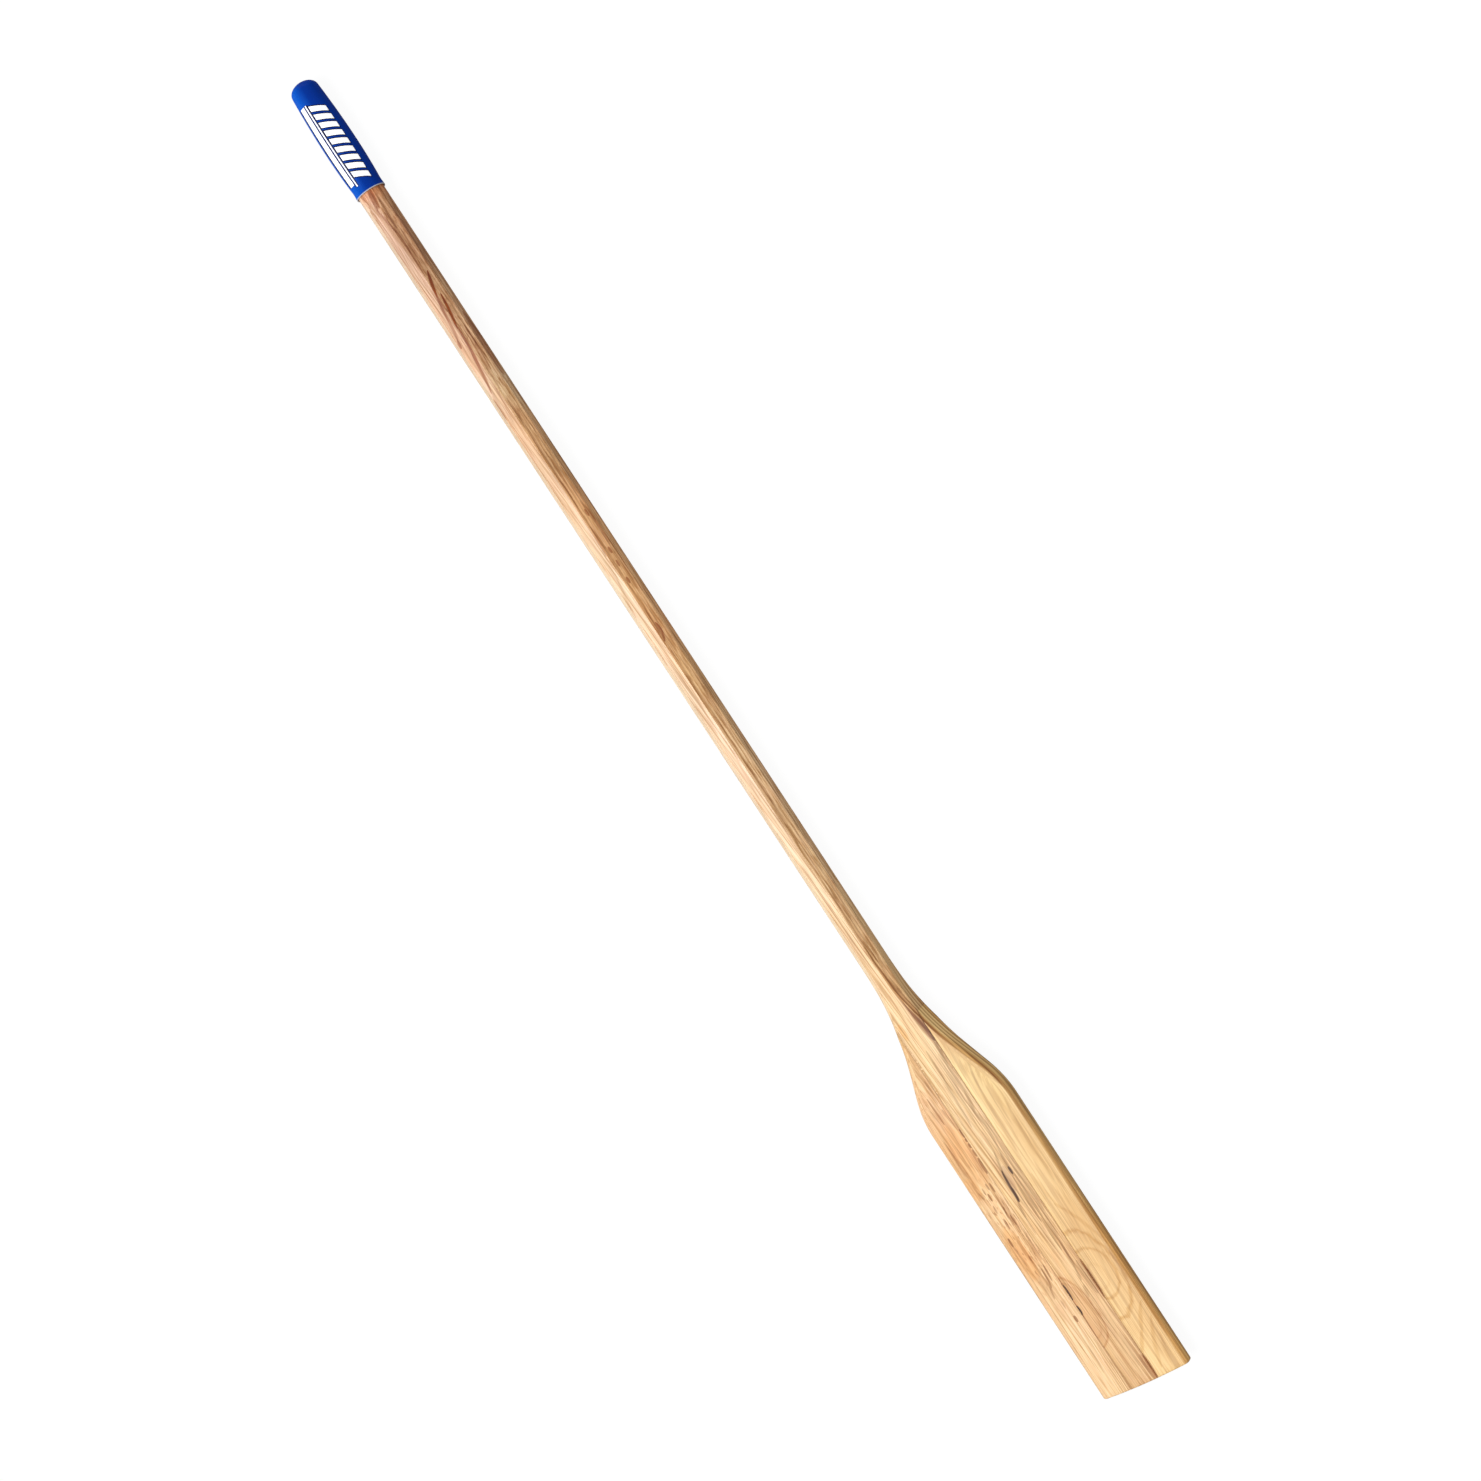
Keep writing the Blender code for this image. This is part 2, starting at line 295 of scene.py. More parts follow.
# %% [markdown]
# ## The ramp that shapes the oar
#
# From loom to blade the oar widens, thins and loses its slanted facets. Each of these changes
# is a straight ramp with a soft curve at both ends, as a drawknife and a spokeshave leave it.
# One node group holds that rule, and the oar's skin uses it five times.

# %% The ramp as a node group
def eased(net, beyond, reach):
    """How far a place lies beyond a corner, with the corner rounded over its reach."""
    turn = net.share(beyond, 0 - reach, reach)
    return turn * turn * reach + net.math("MAXIMUM", beyond - reach, 0)


net, given = new_group("ramp", "GeometryNodeTree", {
    "Place": 0.0, "Start": 0.0, "Length": 1.0, "Low": 0.0, "High": 1.0,
    "First Reach": 0.1, "Last Reach": 0.1}, {"Level": "Float"})
beyond_start = given["Place"] - given["Start"]
beyond_end = beyond_start - given["Length"]
climb = eased(net, beyond_start, given["First Reach"]) - eased(net, beyond_end, given["Last Reach"])
slope = (given["High"] - given["Low"]) / given["Length"]
RAMP = close_group(net, {"Level": given["Low"] + slope * climb})

# %% [markdown]
# ## The turned handle
#
# Under the sleeve the wood is turned round: a domed end, a barrel that fills the palm, and a
# neck. The handle, the sleeve over it and the print on the sleeve all follow the same barrel,
# so its radius is one node group that all three use. The dome is a quarter of an ellipse.

# %% The barrel's radius as a node group
net, given = new_group("barrel_radius", "GeometryNodeTree", {
    "Place": 0.0, "Dome": DOME_X, "Belly": BELLY_X, "Neck": NECK_X,
    "End Radius": HANDLE_END_RADIUS, "Belly Radius": HANDLE_BELLY_RADIUS,
    "Neck Radius": NECK_RADIUS}, {"Radius": "Float"})
to_end = net.share(given["Place"], given["Belly"], given["Dome"])
to_neck = net.share(given["Place"], given["Belly"], given["Neck"])
BARREL = close_group(net, {"Radius": given["Belly Radius"]
                           - (given["Belly Radius"] - given["End Radius"]) * to_end * to_end
                           - (given["Belly Radius"] - given["Neck Radius"]) * to_neck * to_neck})


def domed(net, place, length):
    """The share of the full radius over a domed end of some length, 0 at its pole."""
    depth = net.math("MAXIMUM", DOME_X - place, 0) / length
    return net.math("SQRT", net.math("MAXIMUM", 1 - depth * depth, 0))

# %% [markdown]
# ## The oar's skin
#
# The skin starts as a flat sheet. Each row of its points is a station along the oar, and its
# columns go once round. The node tree then puts every point where the oar's cross-section
# has it, so each size stays a named input and nothing is drawn by hand. A loft through
# drawn sections could make the same form, but it would hide the rule.

# %% How finely the section is drawn
FACE_STEPS = 12
ROUND_STEPS = 5
QUARTER_STEPS = FACE_STEPS + 2 * ROUND_STEPS + 2
print(f"{4 * QUARTER_STEPS} points go once round the oar")

# %% The cross-section of loom and blade
def planed_section(net, place, turn, size):
    """Where a point of the planed oar lies across and above the axis."""
    def ramp(start, length, low, high, first, last):
        return net.use(RAMP, **{"Place": place, "Start": start, "Length": length, "Low": low,
                                "High": high, "First Reach": first, "Last Reach": last})

    half, flare = size["Loom Half"], size["Flare"]
    depth = net.math("MAXIMUM", place - (size["Tip"] - size["Tip Round"]), 0)
    inset = size["Tip Round"] - net.math("SQRT", net.math(
        "MAXIMUM", size["Tip Round"] * size["Tip Round"] - depth * depth, 0))
    width = ramp(flare, size["Flare Length"], half, size["Blade Half"],
                 THROAT_CURVE_REACH, SHOULDER_CURVE_REACH) - inset
    edge = ramp(flare, THINNING_LENGTH, half, size["Edge Half"],
                THINNING_CURVE_REACH, THINNING_CURVE_REACH)
    spine = ramp(flare, size["Tip"] + SPINE_CURVE_REACH - flare, half, size["Tip Spine Half"],
                 SPINE_CURVE_REACH, SPINE_CURVE_REACH)
    crown = spine - edge
    edge = edge - inset
    full_round = ramp(flare - EDGE_ROUND_BEFORE_FLARE, EDGE_ROUND_GROWTH_LENGTH,
                      size["Ridge Round"], size["Edge Round"], FACET_CURVE_REACH, FACET_CURVE_REACH)
    planed = ramp(flare - FACET_RUNOUT_BEFORE_FLARE,
                  FACET_RUNOUT_BEFORE_FLARE + FACET_RUNOUT_AFTER_FLARE,
                  half * LEG_PER_ROUND, 0.0, FACET_CURVE_REACH, FACET_CURVE_REACH)
    leg = net.math("MAXIMUM", planed, full_round * LEG_PER_ROUND) - inset * LEG_PER_ROUND
    radius = full_round - inset
    tangent = radius * TANGENT_PER_ROUND
    face_end = width - leg - tangent

    # Each quarter runs from the middle of a face, over both rounds, to the side
    fold = net.math("FRACT", turn * 2)
    step = (1 - abs(fold * 2 - 1)) * QUARTER_STEPS
    on_face = net.share(step, 0, FACE_STEPS)
    first_turn = net.share(step, FACE_STEPS, FACE_STEPS + ROUND_STEPS) * EIGHTH_TURN
    last_start = FACE_STEPS + ROUND_STEPS + 1
    last_turn = (net.share(step, last_start, last_start + ROUND_STEPS) + 1) * EIGHTH_TURN
    to_side = net.share(step, QUARTER_STEPS - 1, QUARTER_STEPS)
    upper_y = face_end * on_face + radius * net.math("SINE", first_turn)
    upper_z = edge + crown * (1 - on_face * on_face) - radius * (1 - net.math("COSINE", first_turn))
    lower_y = width - radius * (1 - net.math("SINE", last_turn))
    lower_z = (edge - leg - tangent + radius * net.math("COSINE", last_turn)) * (1 - to_side)
    past_facet = step > last_start - 0.5
    angle = turn * (2 * math.pi)
    y = net.between(past_facet, upper_y, lower_y) * net.math("SIGN", net.math("SINE", angle) + 1e-6)
    z = net.between(past_facet, upper_z, lower_z) * net.math("SIGN", net.math("COSINE", angle) + 1e-6)
    return y, z

# %% The tree that bends the flat sheet into the oar
net, given = new_group("oar_skin", "GeometryNodeTree", {
    "Sheet": "Geometry", "Loom Half": LOOM_HALF, "Ridge Round": RIDGE_ROUND,
    "Blade Half": BLADE_HALF, "Edge Half": BLADE_EDGE_HALF, "Edge Round": BLADE_EDGE_ROUND,
    "Tip Spine Half": TIP_SPINE_HALF, "Tip": TIP_X, "Tip Round": TIP_ROUND, "Flare": FLARE_X,
    "Flare Length": FLARE_LENGTH, "Tool Marks": 0.00012, "Finish": "Material"},
    {"Skin": "Geometry"})
place, turn, cap = net.split(net.add("GeometryNodeInputPosition"))
planed_y, planed_z = planed_section(net, place, turn, given)
core_dome = DOME_X - HANDLE_END_X - SLEEVE_END_WALL - SLEEVE_CLEARANCE
radius = net.use(BARREL, Place=place) * domed(net, place, core_dome)
turned_y = radius * net.math("SINE", turn * (2 * math.pi))
turned_z = radius * net.math("COSINE", turn * (2 * math.pi))
squared = net.share(place, NECK_X, FACETS_X, smooth=True)
y = net.between(squared, turned_y, planed_y)
z = net.between(squared, turned_z, planed_z) * (1 - cap) + AXIS_Z
bent = net.add("GeometryNodeSetPosition", {
    "Geometry": given["Sheet"], "Position": net.vector(place, y, z)})
closed = net.add("GeometryNodeMergeByDistance", {"Geometry": bent, "Distance": SAME_POINT})
worked = uneven(net, closed, net.noise(place * 14, y * 45, z * 45), given["Tool Marks"])
OAR_SKIN = close_group(net, {"Skin": finished(net, worked, given["Finish"])})

# %% Rows of points for a flat sheet
def spread(first, last, pitch):
    """Even places after the first one, up to the last, about one pitch apart."""
    steps = round(abs(last - first) / pitch)
    return [first + (last - first) * (step + 1) / steps for step in range(steps)]


def dome_places(length, steps):
    """Places from a dome's pole to just before its base, closer together at the pole."""
    return [DOME_X - length * math.cos(math.pi / 2 * step / steps) for step in range(steps)]


def flat_sheet(name, rows, columns):
    """A sheet with a row of points for each (place, third value), and columns once round."""
    points = []
    for place, third in rows:
        points += [(place, column / columns, third) for column in range(columns + 1)]
    faces = []
    for row in range(len(rows) - 1):
        for column in range(columns):
            corner = row * (columns + 1) + column
            faces.append((corner, corner + columns + 1, corner + columns + 2, corner + 1))
    mesh = bpy.data.meshes.new(name)
    mesh.from_pydata(points, [], faces)
    return mesh

# %% Run a tree and keep its result
def run_tree(name, mesh, tree, **values):
    """Run a Geometry Nodes tree on a mesh and keep its result as a plain mesh."""
    piece = bpy.data.objects.new(name, mesh)
    bpy.context.scene.collection.objects.link(piece)
    modifier = piece.modifiers.new("shape", "NODES")
    modifier.node_group = tree
    for item in tree.interface.items_tree:
        if item.in_out == "INPUT" and item.name in values:
            modifier[item.identifier] = values[item.name]
    bpy.context.view_layer.update()
    graph = bpy.context.evaluated_depsgraph_get()
    plain = bpy.data.meshes.new_from_object(piece.evaluated_get(graph))
    piece.modifiers.remove(modifier)
    piece.data = plain
    plain.name = name
    print(f"{name}: {len(plain.polygons)} faces")
    return piece

# %% Make the blank, with its rows closest where the shape turns most
CORE_WOOD = bpy.data.materials.new("core_wood_varnished")
FINE_PAST_FLARE = 0.175
FINE_PITCH = 0.003
HANDLE_PITCH = 0.006
LOOM_PITCH = 0.008
BLADE_PITCH = 0.006
CORE_DOME_STEPS = 8
TIP_STEPS = 6
fine_start = FLARE_X - FACET_RUNOUT_BEFORE_FLARE - FACET_CURVE_REACH
fine_end = FLARE_X + FINE_PAST_FLARE
places = dome_places(core_dome, CORE_DOME_STEPS) + [DOME_X]
places += spread(DOME_X, NECK_X, HANDLE_PITCH)
places += spread(NECK_X, FACETS_X, FINE_PITCH) + spread(FACETS_X, fine_start, LOOM_PITCH)
places += spread(fine_start, fine_end, FINE_PITCH)
places += spread(fine_end, TIP_X - TIP_ROUND, BLADE_PITCH)
for step in range(1, TIP_STEPS + 1):
    places.append(TIP_X - TIP_ROUND * (1 - math.sin(math.pi / 2 * step / TIP_STEPS)))
rows = [(place, 0.0) for place in places] + [(TIP_X, 1.0)]
sheet = flat_sheet("blank_sheet", rows, 4 * QUARTER_STEPS)
blank = run_tree("blank", sheet, OAR_SKIN, Finish=CORE_WOOD)

# %% [markdown]
# ## Three boards from one blank
#
# On the real oar the boards are glued up first and then shaped together, which is why the
# surface runs on across both glue lines. The same is done here: the shaped blank is cut with
# two flat planes. A bisect is quicker than a Boolean and leaves a clean rim, and the rim is
# filled to close each board. The edges along the glue lines are eased a little, and more
# where the joint has opened, so that the lines show as fine grooves.

# %% How deep the grooves at the glue lines are
EASED_WIDTH = 0.0007
EASED_DEPTH = 0.00012
EASED_ABOVE = 0.005
OPEN_DEPTH = 0.0009
LEFT_OPENINGS = ((0.9045, 0.013), (0.938, 0.006))
RIGHT_OPENINGS = ((0.903, 0.031), (1.048, 0.021))


def groove_depth(x, openings):
    """How deep the edge is eased at a place along a glue line."""
    depth = EASED_DEPTH
    for middle, half_length in openings:
        depth += OPEN_DEPTH * max(0.0, 1 - ((x - middle) / half_length) ** 2)
    return depth


deepest = max(groove_depth(middle, RIGHT_OPENINGS) for middle, half_length in RIGHT_OPENINGS)
print(f"the deepest groove is {1000 * deepest:.2f} mm")

# %% Cut a board out of the blank
SHARP_EDGE_ANGLE = 35


def sawn_board(name, finish, cuts):
    """A board between cuts, each given as (y, the side that falls away, the openings)."""
    bm = bmesh.new()
    bm.from_mesh(blank.data)
    for y, away, openings in cuts:
        for inward, clears in ((EASED_WIDTH, False), (0.0, True)):
            cut = bmesh.ops.bisect_plane(
                bm, geom=bm.verts[:] + bm.edges[:] + bm.faces[:], plane_co=(0, y - away * inward, 0),
                plane_no=(0, away, 0), clear_outer=clears)
        rim = [part for part in cut["geom_cut"] if isinstance(part, bmesh.types.BMEdge)]
        bmesh.ops.holes_fill(bm, edges=rim)
        for vert in {vert for edge in rim for vert in edge.verts}:
            above = vert.co.z - AXIS_Z
            depth = groove_depth(vert.co.x, openings) * min(1.0, abs(above) / EASED_ABOVE)
            vert.co.z -= math.copysign(depth, above)
    bmesh.ops.recalc_face_normals(bm, faces=bm.faces)
    mesh = bpy.data.meshes.new(name)
    bm.to_mesh(mesh)
    bm.free()
    mesh.shade_smooth()
    mesh.set_sharp_from_angle(angle=math.radians(SHARP_EDGE_ANGLE))
    mesh.materials.append(finish)
    board = bpy.data.objects.new(name, mesh)
    bpy.context.scene.collection.objects.link(board)
    print(f"{name}: {len(mesh.polygons)} faces")
    return board

# %% Saw the three boards
LEFT_WOOD = bpy.data.materials.new("left_wing_wood_varnished")
RIGHT_WOOD = bpy.data.materials.new("right_wing_wood_varnished")
middle_board = sawn_board("middle_board", CORE_WOOD, (
    (CORE_EDGE_Y, 1, RIGHT_OPENINGS), (-CORE_EDGE_Y, -1, LEFT_OPENINGS)))
left_wing = sawn_board("left_wing_board", LEFT_WOOD, ((-WING_EDGE_Y, 1, LEFT_OPENINGS),))
right_wing = sawn_board("right_wing_board", RIGHT_WOOD, ((WING_EDGE_Y, -1, RIGHT_OPENINGS),))
bpy.data.objects.remove(blank)

# %% [markdown]
# ## The vinyl sleeve
#
# The real sleeve is moulded vinyl, closed at its end and pushed over the handle while it is
# warm. Its sheet runs along the outside to the mouth, round the lip and back along the
# inside, so the sleeve has a true wall. The third value of each point says which skin it
# belongs to: 1 is the outside, 0 is the inside, and the lip lies between.

# %% The tree that rolls a sheet into the sleeve
net, given = new_group("vinyl_sleeve", "GeometryNodeTree", {
    "Sheet": "Geometry", "Clearance": SLEEVE_CLEARANCE, "Wall": SLEEVE_WALL,
    "End Wall": SLEEVE_END_WALL, "Dome Length": DOME_X - HANDLE_END_X, "Neck": NECK_X,
    "Mouth": MOUTH_X, "Lip Flare": SLEEVE_LIP_FLARE, "Ripple": 0.00005, "Finish": "Material"},
    {"Sleeve": "Geometry"})
place, turn, skin = net.split(net.add("GeometryNodeInputPosition"))
lip = net.share(place, given["Neck"], given["Mouth"])
radius = net.use(BARREL, Place=place) + given["Lip Flare"] * lip * lip
radius = radius + given["Clearance"] + given["Wall"] * skin
radius = radius * domed(net, place, given["Dome Length"] - given["End Wall"] * (1 - skin))
y = radius * net.math("SINE", turn * (2 * math.pi))
z = radius * net.math("COSINE", turn * (2 * math.pi))
rolled = net.add("GeometryNodeSetPosition", {
    "Geometry": given["Sheet"], "Position": net.vector(place, y, z + AXIS_Z)})
closed = net.add("GeometryNodeMergeByDistance", {"Geometry": rolled, "Distance": SAME_POINT})
soft = uneven(net, closed, net.noise(place, y, z, scale=60.0), given["Ripple"])
VINYL_SLEEVE = close_group(net, {"Sleeve": finished(net, soft, given["Finish"])})

# %% Roll the sleeve
VINYL = bpy.data.materials.new("vinyl_blue")
BARREL_PITCH = 0.004
MOUTH_PITCH = 0.0015
SLEEVE_COLUMNS = 96
DOME_STEPS = 16
LIP_STEPS = 8
lip_x = MOUTH_X - SLEEVE_WALL / 2
barrel = [DOME_X] + spread(DOME_X, NECK_X, BARREL_PITCH) + spread(NECK_X, lip_x, MOUTH_PITCH)
rows = [(place, 1.0) for place in dome_places(DOME_X - HANDLE_END_X, DOME_STEPS) + barrel]
for step in range(1, LIP_STEPS):
    angle = math.pi * step / LIP_STEPS
    rows.append((lip_x + SLEEVE_WALL / 2 * math.sin(angle), 0.5 + 0.5 * math.cos(angle)))
bore = dome_places(DOME_X - HANDLE_END_X - SLEEVE_END_WALL, DOME_STEPS) + barrel
rows += [(place, 0.0) for place in reversed(bore)]
sheet = flat_sheet("sleeve_sheet", rows, SLEEVE_COLUMNS)
sleeve = run_tree("grip_sleeve_vinyl", sheet, VINYL_SLEEVE, Finish=VINYL)

# %% [markdown]
# ## The print on the sleeve
#
# Long lines and a row of slanted bars are printed along the sleeve, partly round its side.
# They are ink, so they are films that stand a few hundredths of a millimetre proud and
# follow the barrel. An image could be laid on instead, but thin films stay sharp at any size
# and keep their own gloss. One tree lays a row of flat bars, one instance for each point of a
# line, and wraps them onto the barrel by the same radius as the sleeve.

# %% The tree that prints a row of bars
INK_PROUD = 0.00003
SHADE_PROUD = 0.00001
INK_ROOT = 0.00005

net, given = new_group("printed_bars", "GeometryNodeTree", {
    "Count": 1, "First": 0.0, "Pitch": 0.01, "Length": 0.01, "Low Angle": 0.0,
    "High Angle": 0.1, "Lean": 0.0, "Proud": INK_PROUD, "Finish": "Material"},
    {"Bars": "Geometry"})
bar_angle = given["High Angle"] - given["Low Angle"]
film = given["Proud"] + INK_ROOT
line = net.add("GeometryNodeMeshLine", {
    "Count": given["Count"], "Start Location": net.vector(given["First"], 0, 0),
    "Offset": net.vector(given["Pitch"], 0, 0)})
bar = net.add("GeometryNodeMeshCube", {
    "Size": net.vector(given["Length"], bar_angle, film), "Vertices X": 32, "Vertices Y": 24})
laid = net.add("GeometryNodeInstanceOnPoints", {"Points": line, "Instance": bar})
whole = net.add("GeometryNodeRealizeInstances", {"Geometry": laid})
place, beside, height = net.split(net.add("GeometryNodeInputPosition"))
place = place + given["Lean"] * beside
angle = beside + (given["High Angle"] + given["Low Angle"]) / 2
radius = net.use(BARREL, Place=place) + SLEEVE_CLEARANCE + SLEEVE_WALL + given["Proud"]
radius = radius - film / 2 + height
wrapped = net.add("GeometryNodeSetPosition", {"Geometry": whole, "Position": net.vector(
    place, radius * net.math("SINE", angle), radius * net.math("COSINE", angle) + AXIS_Z)})
PRINTED_BARS = close_group(net, {"Bars": finished(net, wrapped, given["Finish"])})

# %% Print the lines and bars
WHITE_INK = bpy.data.materials.new("ink_white")
DARK_INK = bpy.data.materials.new("ink_dark")


def printed(name, finish, first, last, low, high, count=1, share=1.0, lean=0.0, proud=INK_PROUD):
    """A row of printed bars from first to last along X, between two angles in degrees."""
    pitch = (last - first) / count
    return run_tree(name, bpy.data.meshes.new(name), PRINTED_BARS, **{
        "Count": count, "First": first + pitch / 2, "Pitch": pitch, "Length": pitch * share,
        "Low Angle": math.radians(low), "High Angle": math.radians(high), "Lean": lean,
        "Proud": proud, "Finish": finish})


LINES_START = -1.0314
LINES_END = -0.9000
WIDE_END = -0.9045
BARS_START = -1.0250
BARS_END = -0.9050
BARS = 9
LEAN = 0.011
prints = [
    printed("print_wide_bar", WHITE_INK, LINES_START, WIDE_END, -31.5, -9.4),
    printed("print_outer_line", DARK_INK, LINES_START, WIDE_END, -40.5, -31.9),
    printed("print_low_line", DARK_INK, LINES_START, LINES_END, -8.6, -4.2),
    printed("print_middle_line", WHITE_INK, LINES_START, LINES_END, -3.2, 1.5),
    printed("print_high_line", DARK_INK, LINES_START, LINES_END, 1.9, 6.2),
    printed("print_bars", WHITE_INK, BARS_START, BARS_END, 8.4, 64.0, BARS, 0.62, LEAN),
    printed("print_bar_shades", DARK_INK, BARS_START, BARS_END, 6.3, 66.5, BARS, 0.86, LEAN,
            SHADE_PROUD),
]

# %% [markdown]
# ## Floor and light
#
# The oar was photographed as a product, on a white ground. The floor here stays pale and
# keeps the oar's faint shadow. Camera rays see most of it as plain white, and other rays see
# it as a dim surface, so it doesn't light the underside more than the real ground did.

# %% Lay the floor
FLOOR_REACH = 6
FLOOR_Z = -0.0005


def emptied(data):
    """The net of a material or world, with its first nodes cleared away."""
    data.use_nodes = True
    data.node_tree.nodes.clear()
    return Net(data.node_tree)


FLOOR = bpy.data.materials.new("floor_white")
net = emptied(FLOOR)
seen = net.add("ShaderNodeLightPath")
lit = net.add("ShaderNodeBsdfDiffuse", {"Color": (0.9, 0.9, 0.9, 1)})
plain = net.add("ShaderNodeEmission", {"Color": (1, 1, 1, 1), "Strength": 1.01})
ground = net.add("ShaderNodeMixShader", {0: 0.93, 1: lit, 2: plain})
dim = net.add("ShaderNodeBsdfDiffuse", {"Color": (0.3, 0.3, 0.3, 1)})
surface = net.add("ShaderNodeMixShader", {0: seen, 1: dim, 2: ground})
net.add("ShaderNodeOutputMaterial", {"Surface": surface})

corners = [(x * FLOOR_REACH, y * FLOOR_REACH, FLOOR_Z) for x, y in ((-1, -1), (1, -1), (1, 1), (-1, 1))]
floor_mesh = bpy.data.meshes.new("floor")
floor_mesh.from_pydata(corners, [], [(0, 1, 2, 3)])
floor_mesh.materials.append(FLOOR)
floor = bpy.data.objects.new("floor", floor_mesh)
bpy.context.scene.collection.objects.link(floor)
print(f"the floor is {2 * FLOOR_REACH} m wide")

# %% [markdown]
# The light is one large soft lamp from above and a little to the left, two weak fills and
# white all round. The fills come low from the left and from the grip's end, which lights the
# throat's sides. Sun lamps are used, because their light is as strong at the grip as at the
# blade. The white all round looks full white, but it lights the oar with only part of that.

# %% Set the lamps
for name, strength, softness, turns in (
        ("key_light", 1.72, 28, (15, 0, 0)), ("left_fill", 0.5, 60, (70, 0, 0)),
        ("end_fill", 1.1, 60, (0, -80, -21))):
    lamp = bpy.data.objects.new(name, bpy.data.lights.new(name, "SUN"))
    lamp.data.energy = strength
    lamp.data.angle = math.radians(softness)
    lamp.rotation_euler = [math.radians(turn) for turn in turns]
    bpy.context.scene.collection.objects.link(lamp)
    print(f"{name}: strength {strength}, {softness} degrees wide")

# %% Make the white all round
WORLD_LIGHT = 0.58
world = bpy.data.worlds.new("studio")
net = emptied(world)
camera_ray = net.add("ShaderNodeLightPath")
direct = net.math("MAXIMUM", camera_ray, camera_ray.other("Is Glossy Ray"))
light = net.add("ShaderNodeBackground", {
    "Color": (1, 1, 1, 1), "Strength": direct * (1 - WORLD_LIGHT) + WORLD_LIGHT})
net.add("ShaderNodeOutputWorld", {"Surface": light})
bpy.context.scene.world = world
bpy.context.scene.view_settings.view_transform = "Standard"
print(f"the world lights the oar with a strength of {WORLD_LIGHT}")

# %% [markdown]
# ## Places on the boards
#
# Every pattern of the wood needs to know where it is: how far along the oar, and how far
# across it as the lens sees it. Streaks in wood are never ruler straight, so a slow noise
# makes the second of them wander. Both come from Object coordinates, so the pattern is solid:
# it runs through the wood and round its edges.

# %% Places as a shader group
net, given = new_group("board_place", "ShaderNodeTree", {"Wander": 0.0006}, {
    "Along": "Float", "Across": "Float", "Beside": "Float", "Height": "Float"})
along, beside, height = net.split(net.add("ShaderNodeTexCoord", output="Object"))
height = height - AXIS_Z
drift = net.noise(along * 34, beside * 70, height * 70) - 0.5
sideways = beside * math.cos(ROLL) - height * math.sin(ROLL) + drift * given["Wander"] * 2
BOARD_PLACE = close_group(net, {
    "Along": along, "Across": sideways, "Beside": beside, "Height": height})

# %% [markdown]
# ## Fibres, rings, pores and patches
#
# Four patterns make up plain softwood. Fibres are a noise drawn out along the board. Growth
# rings are shells round the heart of the tree, pale in spring and darker towards the end of
# each year; where a face cuts them flat they widen into tall arches. Pores are short dark
# dashes, and patches are soft clouds. Each is a group, because more than one board uses it,
# and each board sets its own spacing, heart and strength.

# %% Fibres as a shader group
SOLID_PLACE = {"Along": 0.0, "Beside": 0.0, "Height": 0.0}

net, given = new_group("fibres", "ShaderNodeTree", {
    **SOLID_PLACE, "Length": 0.05, "Thickness": 0.0008, "Lean": 0.0, "Seed": 0.0},
    {"Fibres": "Float"})
leaning = given["Beside"] + given["Lean"] * given["Along"]
thread = net.noise(
    given["Along"] / given["Length"], leaning / given["Thickness"],
    given["Height"] / given["Thickness"] + given["Seed"], detail=3.0, roughness=0.6)
FIBRES = close_group(net, {"Fibres": net.share(thread, 0.3, 0.7)})

# %% Growth rings as a shader group
net, given = new_group("growth_rings", "ShaderNodeTree", {
    **SOLID_PLACE, "Heart Beside": 0.0, "Heart Height": -0.05, "Taper": 0.02,
    "Spacing": 0.004, "Waver": 0.002}, {"Late Wood": "Float"})
waver = net.noise(given["Along"] * 5, given["Beside"] * 16, given["Height"] * 16) - 0.5
aside = given["Beside"] - given["Heart Beside"]
above = given["Height"] - given["Heart Height"]
radius = net.math("SQRT", aside * aside + above * above)
radius = radius + given["Along"] * given["Taper"] + waver * given["Waver"] * 2
year = net.math("FRACT", radius / given["Spacing"])
GROWTH_RINGS = close_group(net, {
    "Late Wood": net.share(year, 0.2, 0.85) * net.share(year, 1.0, 0.88)})

# %% Pores as a shader group
net, given = new_group("pores", "ShaderNodeTree", {
    **SOLID_PLACE, "Length": 0.012, "Thickness": 0.0009, "Rarity": 0.68}, {"Pores": "Float"})
dash = net.noise(
    given["Along"] / given["Length"], given["Beside"] / given["Thickness"],
    given["Height"] / given["Thickness"], detail=1.0)
PORES = close_group(net, {"Pores": net.share(dash, given["Rarity"], given["Rarity"] + 0.08)})

# %% Patches as a shader group
net, given = new_group("patches", "ShaderNodeTree", {
    **SOLID_PLACE, "Length": 0.05, "Breadth": 0.01, "Seed": 0.0}, {"Patches": "Float"})
blotch = net.noise(
    given["Along"] / given["Length"] + given["Seed"], given["Beside"] / given["Breadth"],
    given["Height"] / given["Breadth"])
PATCHES = close_group(net, {"Patches": net.share(blotch, 0.42, 0.68, smooth=True)})

# %% [markdown]
# ## Streaks and ring lines
#
# Some marks make this very oar: resin streaks, dark pockets and the oval lines where the
# blade's faces cut growth rings. They are placed one by one, in real sizes, with two shapes.
# A streak is a line with tapered ends and a bow. An oval is a ring line, and its inside can
# be tinted. A painted image could hold them too, but it would lie on the wood like paper,
# and these run through it and round its edges.

